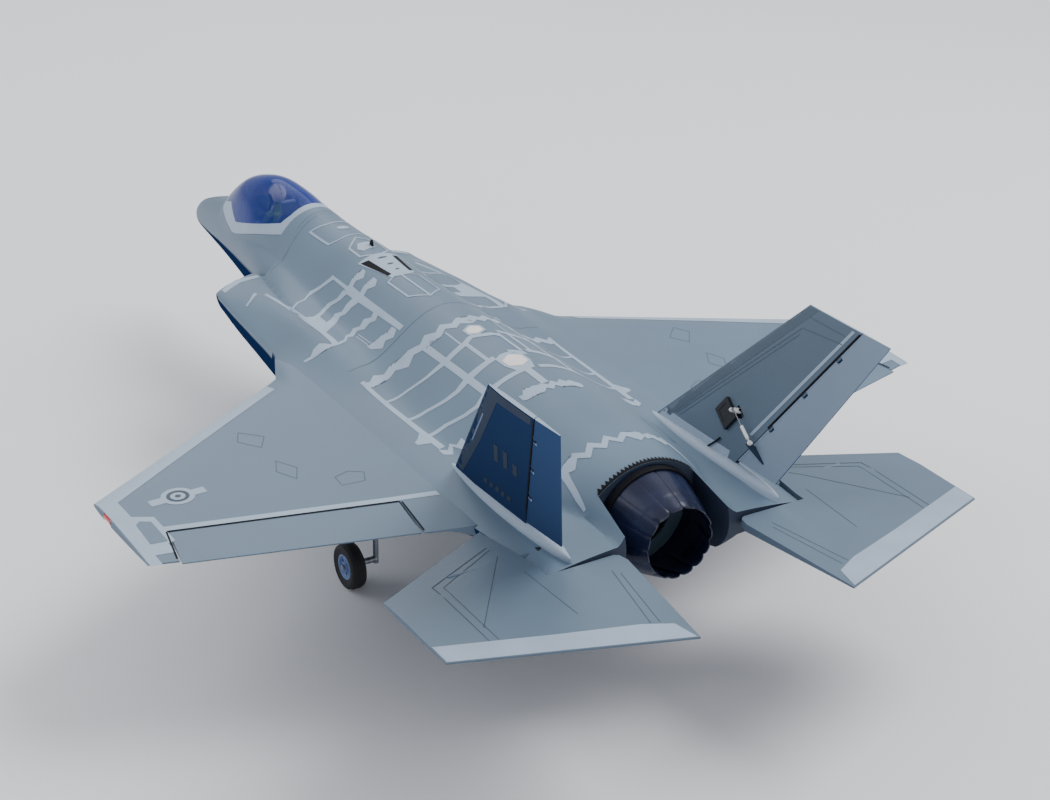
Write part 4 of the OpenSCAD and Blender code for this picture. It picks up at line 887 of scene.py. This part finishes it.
# Bands beside the spine, forward group.
side_marks = [
    zigzag(3, 5, (22, 451, 7), (38, 451, 7)),
    zigzag(3, 5, (22, 474, 8), (38, 474, 8)),
    along((40, 415, 2), (40.5, 446, 2.5), (40.5, 450, 7), (41, 480, 6), (42, 560, 4.5)),
    across((41, 418, 6), (50, 411, 5), (57, 405, 7), (61, 406, 3), (68, 412, 3), (76, 413, 3), (84, 419, 4)),
    across((43, 450, 9), (50, 449, 6), (57, 443, 7), (63, 444, 6), (70, 449, 5), (74, 452, 7)),
    across((43, 473, 13), (50, 470, 10), (56, 471, 8), (60, 466, 10), (66, 470, 11), (74, 475, 12)),
    [(73, 449), (73, 481), (86, 493), (86, 447), (79, 451)],
    along((83.5, 356, 3), (85, 400, 3), (86, 440, 3.5), (87.5, 490, 4.5), (89, 520, 6)),
    across((88, 344, 7), (92, 347, 6), (98, 353, 4), (105, 358, 4)),
    across((43, 512, 9), (48, 516, 9), (52, 510, 12), (58, 512, 9), (62, 506, 8), (68, 510, 7),
            (72, 508, 4), (78, 516, 4), (86, 520, 4), (93, 519, 5), (99, 508, 5), (106, 510, 6),
            (112, 516, 5), (119, 514, 4)),
    zigzag(3, 5, (45, 554, 8), (62, 551, 12), (68, 544, 9)),
    along((64, 516, 0.8), (64, 545, 0.8)),
    along((66.5, 516, 0.8), (66.5, 545, 0.8)),
    # centre pattern
    zigzag(3.4, 8, (-9, 607, 9), (22, 603, 10), (44, 600, 11), (62, 600, 12), (78, 594, 10), (100, 594, 9)),
    along((98, 588, 4), (98, 640, 4.5), (97, 690, 5), (96, 730, 6)),
    [(98, 694), (104, 702), (109, 706), (109, 711), (99, 717)],
    across((100, 735, 10), (94, 741, 9), (89, 733, 6), (86, 742, 9), (80, 738, 7)),
    along((43.5, 604, 6), (43.5, 660, 5.5), (44, 715, 6)),
    along((24.5, 609, 1.6), (24.5, 640, 1.6)),
    along((21.5, 640, 3.4), (21.5, 682, 3.6)),
    across((13, 635, 6), (22, 640, 7), (44, 643, 7), (60, 640, 4), (76, 634, 3.5), (97, 631, 3.5)),
    across((16, 681, 7), (24, 682, 7), (42, 683, 9), (56, 686, 6), (66, 683, 5), (80, 675, 4.5),
           (97, 670, 4.5)),
    across((8, 716, 6), (30, 716, 6), (45, 716, 8), (56, 720, 5), (66, 717, 5), (80, 708, 5), (97, 705, 5)),
]
centre_marks = [
    # open trapezoid round the two vents, with the strip between them
    [(21.5, 434), (12.5, 485), (4, 489), (-4, 489), (-12.5, 485), (-21.5, 434)],
    # cross bars of the centre pattern
    along((4.5, 716, 7), (4.5, 746, 7)),
    along((-11, 640, 3.4), (-11, 682, 3.4)),
    across((-11, 646, 8), (-6, 641, 6), (2, 640, 6), (13, 635, 6)),
    across((-12, 688, 8), (-6, 683, 7), (1, 680, 8)),
    [(-8, 686), (-8, 702), (-3, 717), (12, 717), (17, 700), (17, 684), (10, 680), (-1, 680)],
    zigzag(2.6, 4.4, (-27, 757, 7), (-14, 752, 9), (8, 752, 9), (24, 749, 10), (31, 750, 8)),
    zigzag(4.4, 8.5, (-27, 851, 8), (0, 850, 8), (30, 849, 9), (52, 849, 8)),
    zigzag(4.4, 8.5, (-52, 849, 8), (-27, 851, 8)),
]
for s in (1, -1):
    centre_marks.append(along((s * 51, 848, 7), (s * 53.5, 862, 5), (s * 56, 880, 4), (s * 57, 892, 2)))
film("fuselage_bands", side_marks + flip(side_marks), on_deck, pale, grid=3)
film("fuselage_centre_bands", centre_marks, on_deck, pale, lift=0.3)
outline_marks = ribbon([(22, 333), (22, 374), (15, 379), (0, 380), (-15, 379), (-22, 374), (-22, 333),
                         (-6, 340), (6, 340), (22, 333)], 2.0)
outline_marks += frame_of([(16, 404), (16, 427), (0, 440), (-16, 427), (-16, 404), (0, 388)], 2.0)
outline_marks += frame_of([(19, 489), (19, 529), (3, 545), (-14, 532), (-14, 492), (3, 481)], 1.8)
outline_marks += ribbon([(3, 484), (3, 542)], 2.0)
film("fuselage_outlines", outline_marks, on_deck, pale, grid=6, lift=0.34)
film("panel_spot", [disc(-3, 356, 6.5, 4.5, 20), [(-6, 404), (6, 404), (11, 414), (8, 421), (-6, 419)]],
     on_deck, pale, lift=0.3)
vents = [[(12.6, 440), (9.4, 480), (13.2, 480), (19.6, 437)]]
film("vent_shadows", vents + flip(vents), on_deck, black, lift=0.46)
film("vent_rivets", [disc(0, 444, 5, 1.6, 14), disc(0, 460, 3.4, 1.5, 14), disc(0, 474, 2.2, 1.4, 14)],
     on_deck, line_dark, lift=0.46)
POINT_UP = math.radians(30)
film("cream_hexagons", [disc(4.5, 626, 7.8, 7.6, 6, POINT_UP), disc(4.5, 697, 11, 12, 6, POINT_UP)],
     on_deck, cream, lift=0.46)
film("hexagon_borders", frame_of(disc(4.5, 626, 10.5, 10.2, 6, POINT_UP), 2.4), on_deck, pale, lift=0.4)
# Painted highlight: a lighter patch on the starboard side of the nose, where the light falls.
film("nose_tip_painted_highlight",
     [[(1, 8), (3, 30), (4, 66), (1, 98), (-12, 104), (-20, 92), (-22, 60), (-16, 34), (-8, 14)]],
     on_deck, nose_highlight_paint, grid=2, lift=0.3)
lip = [[(63, 291), (84, 287), (104, 297), (104, 306), (84, 297), (63, 300)]]
film("intake_lip_bands", lip + flip(lip), on_deck, pale)
tooth_x = [-43.2 + 3.6 * i for i in range(25)]
teeth_marks = [[(x - 1.9, 892.2), (x + 1.9, 892.2), (x, 888.0)] for x in tooth_x]
teeth_marks.append([(-45.6, 891.8), (45.6, 891.8), (45.6, 893.8), (-45.6, 893.8)])
film("nozzle_base_teeth", teeth_marks, on_deck, black, grid=3, lift=0.5)
seams = []
for x0, x1, st in ((-60, 60, 318), (-100, 100, 566)):
    seams += ribbon([(x0 + (x1 - x0) * i / 12, st) for i in range(13)], 0.7)
for s in (1, -1):
    seams += frame_of([(s * 62, 792), (s * 78, 792), (s * 78, 826), (s * 62, 826)], 0.7)
film("fuselage_seams", seams, on_deck, line_soft, grid=8, lift=0.16)


def on_wing(side):
    def drape(x, st, lift):
        return (side * x, st + NOSE_Y, wing_height(x, st + NOSE_Y) + lift)
    return drape


lead_edge = [(x, wing_edges(x)[0] - NOSE_Y + 1.2) for x in (162, 200, 250, 300, 345, 378)]
wing_pale = [
    lead_edge + [(378, 676), (363, 669), (162, 541)],
    [(363, 669), (363, 697), (347, 706), (346.6, 748), (353, 749), (353, 764), (369, 761), (369, 776),
     (378.2, 774), (378.2, 676)],
    [(130, 779.5), (165, 771.5), (347, 724), (347, 731), (165, 778.5), (130, 787)],
]
wing_dark = [[(352, 712), (352, 746), (366, 744), (364.5, 711), (360, 707)]]
wing_lines = []
for corners in ([(211, 624), (222, 642), (236, 622), (228, 606)],
                [(211, 688), (220, 706), (230, 686), (222, 668)],
                [(166, 722), (172, 736), (193, 734), (192, 718), (178, 714)]):
    wing_lines += frame_of(corners, 0.8)
# Black strips over the flaperon gaps are painted shade.
gap_shade_strips = [[(165, 778.6), (347, 731.2), (347, 733.6), (165, 781)]]
gap_shade_strips += ribbon([(162.8, 782), (168.6, 829)], 1.5)
gap_shade_strips += ribbon([(347.8, 733), (356, 773)], 1.5)
for side, word in SIDES:
    film(f"wing_bands_{word}", wing_pale, on_wing(side), pale, grid=7)
    film(f"wing_tip_inset_{word}", wing_dark, on_wing(side), foam, grid=9, lift=0.4)
    film(f"wing_seams_{word}", wing_lines, on_wing(side), line_soft, grid=12, lift=0.12)
    film(f"flaperon_gap_shade_{word}", gap_shade_strips, on_wing(side), black, grid=12, lift=0.3)
    roundel = [disc(317, 684, 14, 14, 32), [(293, 679.5), (305, 679.5), (305, 689), (293, 689)],
               [(329, 680), (342, 680), (342, 690), (329, 690)]]
    film(f"roundel_{word}", roundel, on_wing(side), pale_deep, grid=8, lift=0.24)
    film(f"roundel_ring_{word}", frame_of(disc(317, 684, 9.5, 9.5, 28), 3.2) + [disc(317, 684, 2.6, 2.6, 14)],
         on_wing(side), line_dark, grid=12, lift=0.34)


def on_fin(side, face):
    """face 1 is the outboard side and -1 the inboard side."""
    def drape(y, h, lift):
        return fin_point(side, face * (fin_half(y, h) + lift * 0.8), y, h)
    return drape


def lead(h, inset=0.0):
    """Place on the leading edge at a height, moved aft by inset."""
    return 223.7 + 0.9084 * h + inset, h


def hinge(h, inset=0.0):
    """Place on the rudder hinge line at a height, moved aft by inset."""
    return 342 + 0.5909 * h + inset, h


slant_bars = []
for y, h, reach in ((326, 62, 22), (340, 62, 22), (354, 62, 14)):
    slant_bars.append([(y, h), (y + 6, h), (y + 6 + reach * 0.5, h + reach), (y + reach * 0.5, h + reach)])
slant_bars += [[(287 + 9 * i, 20), (292 + 9 * i, 20), (297 + 9 * i, 27), (292 + 9 * i, 27)] for i in range(5)]
for side, word in SIDES:
    inner, outer = on_fin(side, -1), on_fin(side, 1)
    edge = [lead(h, 1.2) for h in (8, 40, 80, 120, 152.5)]
    film(f"fin_edge_band_in_{word}", [edge + [lead(152.5, 14), lead(8, 15)]], inner, band_dark, grid=12)
    # The outboard edge band is a real band whose navy tone holds painted shade.
    film(f"fin_edge_band_out_{word}",
         [edge + [lead(152.5, 26), hinge(152.5, -6), hinge(143, -6), lead(141, 20), lead(70, 19),
                  lead(8, 14)]],
         outer, band_navy_painted_shade, grid=12)
    film(f"fin_dash_{word}", ribbon([lead(64, 9), lead(112, 9)], 1.4), outer, seat_blue, grid=12, lift=0.34)
    lines = ribbon([lead(14, 17), lead(134, 20), hinge(138, -9)], 0.9)
    lines += ribbon([lead(14, 22), lead(128, 25)], 0.7)
    lines += ribbon([lead(145, 4), hinge(145, -9)], 0.7)
    film(f"fin_seams_in_{word}", lines, inner, band_dark, grid=14, lift=0.3)
    film(f"fin_post_band_{word}", [[hinge(33, -13), hinge(33, -9.5), hinge(152, -8), hinge(152, -11.5)]],
         inner, pale, grid=14, lift=0.3)
    film(f"fin_root_band_{word}", [[lead(3, 4), lead(11.5, 2), (333, 11.5), (333, 3)]],
         inner, pale_deep, grid=14)
    film(f"fin_slant_bars_{word}", slant_bars, outer, bar_navy, grid=10, lift=0.3)
    for title, foot, face in (("", 24, outer), ("_in", 46, inner)):
        film(f"fin_post_shade{title}_{word}",
             [[hinge(foot, -3.6), hinge(foot, -1.6), hinge(152, -1.4), hinge(152, -3.4)]],
             face, black, grid=14, lift=0.2)


def on_tail(side):
    def drape(x, st, lift):
        return (side * x, st + NOSE_Y, WING_Z + tail_half(x, st + NOSE_Y) + lift)
    return drape


tail_lines = []
for width, route in ((0.8, [(142, 881), (208, 913), (208.5, 1000)]),
                     (0.7, [(142, 886), (201, 918), (201.5, 1001)]),
                     (0.8, [(142, 899), (203, 982)]), (0.6, [(136, 930), (133, 1000)]),
                     (0.7, [(77, 962), (93, 1038)]), (0.6, [(73, 968), (86, 1040)])):
    tail_lines += ribbon(route, width)
for side, word in SIDES:
    film(f"stabilator_edge_band_{word}",
         [[(78, 1047.5), (100, 1036), (160, 1017), (249, 986), (249, 1008.4), (73.5, 1070.4)]],
         on_tail(side), pale, f"stab_{word}", grid=12)
    film(f"stabilator_seams_{word}", tail_lines, on_tail(side), line_dark, f"stab_{word}", grid=14, lift=0.14)

# ---------- cockpit, seat and pilot ----------


def rounded(name, centre, radii, mat, rows=28, cols=40):
    """Closed smooth shell, slightly waved round its middle."""
    rings = []
    for i in range(1, rows):
        r, z = math.sin(math.pi * i / rows), math.cos(math.pi * i / rows)
        ring = []
        for j, (c, s) in enumerate(circle(cols)):
            wave = 1 + 0.03 * math.sin(2 * (math.tau * j / cols)) * r
            ring.append((centre[0] + radii[0] * r * c * wave, NOSE_Y + centre[1] + radii[1] * r * s * wave,
                         WING_Z + centre[2] + radii[2] * z))
        rings.append(ring)
    return shade(skin_over(name, rings, mat), 60)


def limb(name, mat, sides, *route):
    """Tapered limb or tube along (x, station, height, radius)."""
    rings = []
    fine = []
    for p, q in zip(route, route[1:]):
        for i in range(6):
            k = i / 6
            e = k * k * (3 - 2 * k)
            fine.append([p[m] + (q[m] - p[m]) * k for m in range(3)] + [p[3] + (q[3] - p[3]) * e])
    fine.append(list(route[-1]))
    for i, p in enumerate(fine):
        a, b = fine[max(i - 1, 0)], fine[min(i + 1, len(fine) - 1)]
        d = Vector([b[m] - a[m] for m in range(3)]).normalized()
        u = d.cross(Vector((1, 0.1, 0.05))).normalized()
        v = d.cross(u)
        middle = Vector((p[0], NOSE_Y + p[1], WING_Z + p[2]))
        rings.append([tuple(middle + u * (p[3] * c) + v * (p[3] * s)) for c, s in circle(sides)])
    return shade(skin_over(name, rings, mat), 50)


torso = limb("pilot_torso", suit, 32, (0, 215, 4, 7), (0, 215, 9, 9.4), (0, 217, 20, 8.6), (0, 217, 30, 9.6),
             (0, 216.5, 37, 9.4), (0, 216, 42, 5), (0, 215, 48, 4))
place(torso, nodes=("pilot_body",), slot="suit")
for s, word in SIDES:
    place(limb(f"pilot_arm_{word}", suit, 20, (s * 8, 216, 39, 4), (s * 11.5, 215, 36, 4.4),
               (s * 13.6, 206, 22, 3.6), (s * 11, 198, 18, 3), (s * 7, 189, 17, 2.6)))
    place(limb(f"pilot_leg_{word}", suit, 20, (s * 5, 214, 7, 4.6), (s * 5.6, 198, 9, 4.8),
               (s * 6, 184, 9.5, 4), (s * 6, 180, 4, 3.4), (s * 6, 178, -2, 3)))
    place(limb(f"harness_strap_{word}", webbing, 12, (s * 4, 209.5, 44, 1.2), (s * 5.2, 206.6, 36, 1.3),
               (s * 5, 207.4, 26, 1.3), (s * 3, 206.2, 18, 1.2)))
place(limb("harness_lap", webbing, 12, (-9, 213, 16, 1.2), (-5, 206.5, 17, 1.2), (0, 205.5, 17, 1.6),
           (5, 206.5, 17, 1.2), (9, 213, 16, 1.2)))
head = rounded("pilot_face", (0, 211, 57.4), (6.4, 7.2, 8.2), skin)
place(head, nodes=("pilot_head",), slot="skin")
helmet = rounded("pilot_helmet_shell", (0, 212.4, 58.8), (9.4, 10.0, 9.8), helmet_paint, rows=40, cols=56)
face_gap = block("face_gap", (-6.6, NOSE_Y + 198, WING_Z + 47), (6.6, NOSE_Y + 207, WING_Z + 62.4))
inner = rounded("helmet_room", (0, 211.6, 58), (7.0, 7.8, 8.7), None)
neck = block("neck_gap", (-7, NOSE_Y + 205, WING_Z + 44), (7, NOSE_Y + 219, WING_Z + 51))
paint(carve(helmet, [inner, face_gap, neck]), helmet_paint)
place(soft_edges(shade(helmet, 40), 0.3), nodes=("pilot_helmet",), slot="helmet")
visor = rounded("pilot_visor_shield", (0, 211.2, 59.2), (8.9, 10.2, 8.6), visor_black, rows=30, cols=40)
keep = block("visor_keep", (-8.2, NOSE_Y + 198, WING_Z + 55.6), (8.2, NOSE_Y + 207.4, WING_Z + 64.4))
paint(carve(visor, [keep], "INTERSECT"), visor_black)
place(soft_edges(shade(visor, 40), 0.3), nodes=("pilot_visor",), slot="visor")
place(limb("pilot_mask", visor_black, 20, (0, 205.6, 53.6, 3.6), (0, 202.6, 52.6, 3.3),
           (0, 200.8, 51.8, 2.2)))
place(limb("mask_hose", servo_black, 12, (0, 202, 51, 1.1), (2, 202, 46, 1.1), (6, 204, 40, 1.1),
           (9, 208, 34, 1.1)))
for s, word in SIDES:
    place(rounded(f"helmet_ear_cup_{word}", (s * 8.4, 213, 56), (1.9, 4, 4.6), visor_black))
place(limb("helmet_ridge", visor_black, 10, (0, 205.5, 67.2, 0.7), (0, 212, 69.2, 0.7), (0, 219, 66.6, 0.7),
           (0, 222, 60, 0.7)))

seat = skin_over("ejection_seat_back", [
    [(x, NOSE_Y + 224 + z * 0.25 + y, WING_Z - 4.6 + z) for x, y in
     ((-12.5 + t, 0.6), (-11.5 + t, 0), (11.5 - t, 0), (12.5 - t, 0.6), (12.5 - t, 4.6), (-12.5 + t, 4.6))]
    for z, t in ((0, 0.4), (2, 0), (30, 0), (44, 0.6), (49, 2.2), (50.5, 4))], seat_blue)
place(soft_edges(shade(seat, 40), 0.6), nodes=("ejection_seat",), slot="seat")


def seat_block(name, lo, hi, move, mat, edge, segments=2):
    """Soft-edged block of the seat, moved in station and height."""
    obj = block(name, lo, hi, Matrix.Translation((0, (NOSE_Y + move[0]) * MM, (WING_Z + move[1]) * MM)))
    place(soft_edges(shade(paint(obj, mat), 40), edge, segments))


seat_block("ejection_seat_headrest", (-8, 0, 0), (8, 6.6, 14), (234.4, 44.5), seat_blue, 1.4, 4)
seat_block("ejection_seat_pan", (-11.8, 198, -5.8), (11.8, 225, 3), (0, 0), panel_black, 1.2, 3)
for n, z in enumerate((8, 20, 32)):
    seat_block(f"seat_back_rib_{n}", (-11, 0, 0), (11, 0.9, 3.4), (223.4 + z * 0.25, -4.6 + z), webbing, 0.3)
tub = copy_node("cockpit_tub", "cockpit_tub_skin", tub_grey, 30, 0.4)
place(tub, nodes=("cockpit_tub",), slot="cockpit")
place(limb("instrument_hood", panel_black, 24, (-18, 158, 8, 2.2), (-14, 156.5, 13, 4), (0, 155.5, 15.5, 4.8),
           (14, 156.5, 13, 4), (18, 158, 8, 2.2)))
for n, (x, z, r) in enumerate(((-9, 5, 3.2), (0, 5.5, 3.8), (9, 5, 3.2))):
    dial = round_bar(f"dial_{n}", x, WING_Z + z, NOSE_Y + 159.2, NOSE_Y + 160.4, r, r * 0.86, 32, webbing)
    place(shade(dial, 40))

# ---------- finishes of the pieces shown straight from the frame ----------
FINISH = {
    "nav_light_left": lamp_red, "nav_light_right": lamp_green, "rudder_hinge_pins": steel,
    "servo_leads": black, "intake_duct": duct_paint, "fan_housing": fan_black, "fan_rotor": fan_black,
    "fan_motor": metal_grey, "thrust_tube": tube_film_painted_shade, "battery": pack_yellow,
    "speed_controller": board_dark, "antenna": black, "nose_retract": retract_grey,
    "nose_leg": metal_grey, "nose_fork": metal_grey, "nose_tyre": rubber, "nose_rim": hub_paint,
}
for word in ("left", "right"):
    FINISH.update({
        f"flaperon_servo_{word}": servo_black, f"rudder_servo_{word}": servo_black,
        f"stab_servo_{word}": servo_black, f"servo_arm_{word}": white_plastic,
        f"main_retract_{word}": retract_grey, f"main_leg_{word}": metal_grey,
        f"main_tyre_{word}": rubber, f"main_rim_{word}": hub_paint,
    })
for node, mat in FINISH.items():
    paint(frame["nodes"][node], mat)
CLEVIS = 15  # length of the clevis at the rod's horn end
for side, word in SIDES:
    rod = copy_node(f"pushrod_{word}", f"rudder_rod_wire_{word}", steel, 35)
    arm_pin = next(Vector(j["pos_m"]) / MM for j in frame["joints"] if j["child"] == f"rudder_rod_{word}")
    reach = max((poly.center / MM - arm_pin).length for poly in rod.data.polygons)
    repaint(rod, white_plastic, lambda c, v: (c - arm_pin).length > reach - CLEVIS)
    place(rod, f"rudder_rod_{word}", (f"pushrod_{word}",), "rod_steel")

# ---------- stage ----------
span = max(cad_size[1][i] - cad_size[0][i] for i in range(3))
bpy.ops.mesh.primitive_plane_add(size=40 * span, location=(0, 0, cad_size[0][2] - 0.0004))
floor = bpy.context.object
floor.name = "floor"
floor.data.materials.append(material("floor_card", (0.86, 0.86, 0.87), 0.9, vary=0.004, scale=4, bump=0.02))


def lamp(name, spot, target, size, power, tint=(1, 1, 1)):
    data = bpy.data.lights.new(name, "AREA")
    data.shape = "DISK"
    data.size = size
    data.energy = power
    data.color = tint
    obj = bpy.data.objects.new(name, data)
    bpy.context.scene.collection.objects.link(obj)
    obj.location = spot
    obj.rotation_euler = (Vector(target) - Vector(spot)).to_track_quat("-Z", "Y").to_euler()
    return obj


lamp("key", (-1.6, 0.6, 2.6), (0, 0, 0.1), 1.8, 66)
lamp("fill", (1.9, -1.2, 2.0), (0, 0, 0.1), 2.2, 20, (0.86, 0.92, 1.0))
lamp("rim", (-0.6, -2.4, 1.9), (0, 0, 0.15), 1.6, 16)
world = bpy.data.worlds.new("studio")
bpy.context.scene.world = world
world.use_nodes = True
world.node_tree.nodes["Background"].inputs["Color"].default_value = (0.93, 0.95, 1.0, 1)
world.node_tree.nodes["Background"].inputs["Strength"].default_value = 0.78

# ---------- camera ----------
# Solved from the symmetric shapes of the model; angles in degrees, place in metres.
az, el, roll = math.radians(148.305), math.radians(25.489), math.radians(0.759)
toward = Vector((math.sin(az) * math.cos(el), -math.cos(az) * math.cos(el), math.sin(el)))
right = Vector((0, 0, 1)).cross(toward).normalized()
up = toward.cross(right)
turned_right = right * math.cos(roll) + up * math.sin(roll)
turned_up = up * math.cos(roll) - right * math.sin(roll)
lens = bpy.data.cameras.new("camera")
lens.sensor_fit = "HORIZONTAL"
lens.sensor_width = 36
lens.lens = 75.015
camera = bpy.data.objects.new("camera", lens)
bpy.context.scene.collection.objects.link(camera)
pose = Matrix((turned_right, turned_up, toward)).transposed().to_4x4()
camera.matrix_world = Matrix.Translation((0.903646, 1.633931, 1.002784)) @ pose
bpy.context.scene.camera = camera
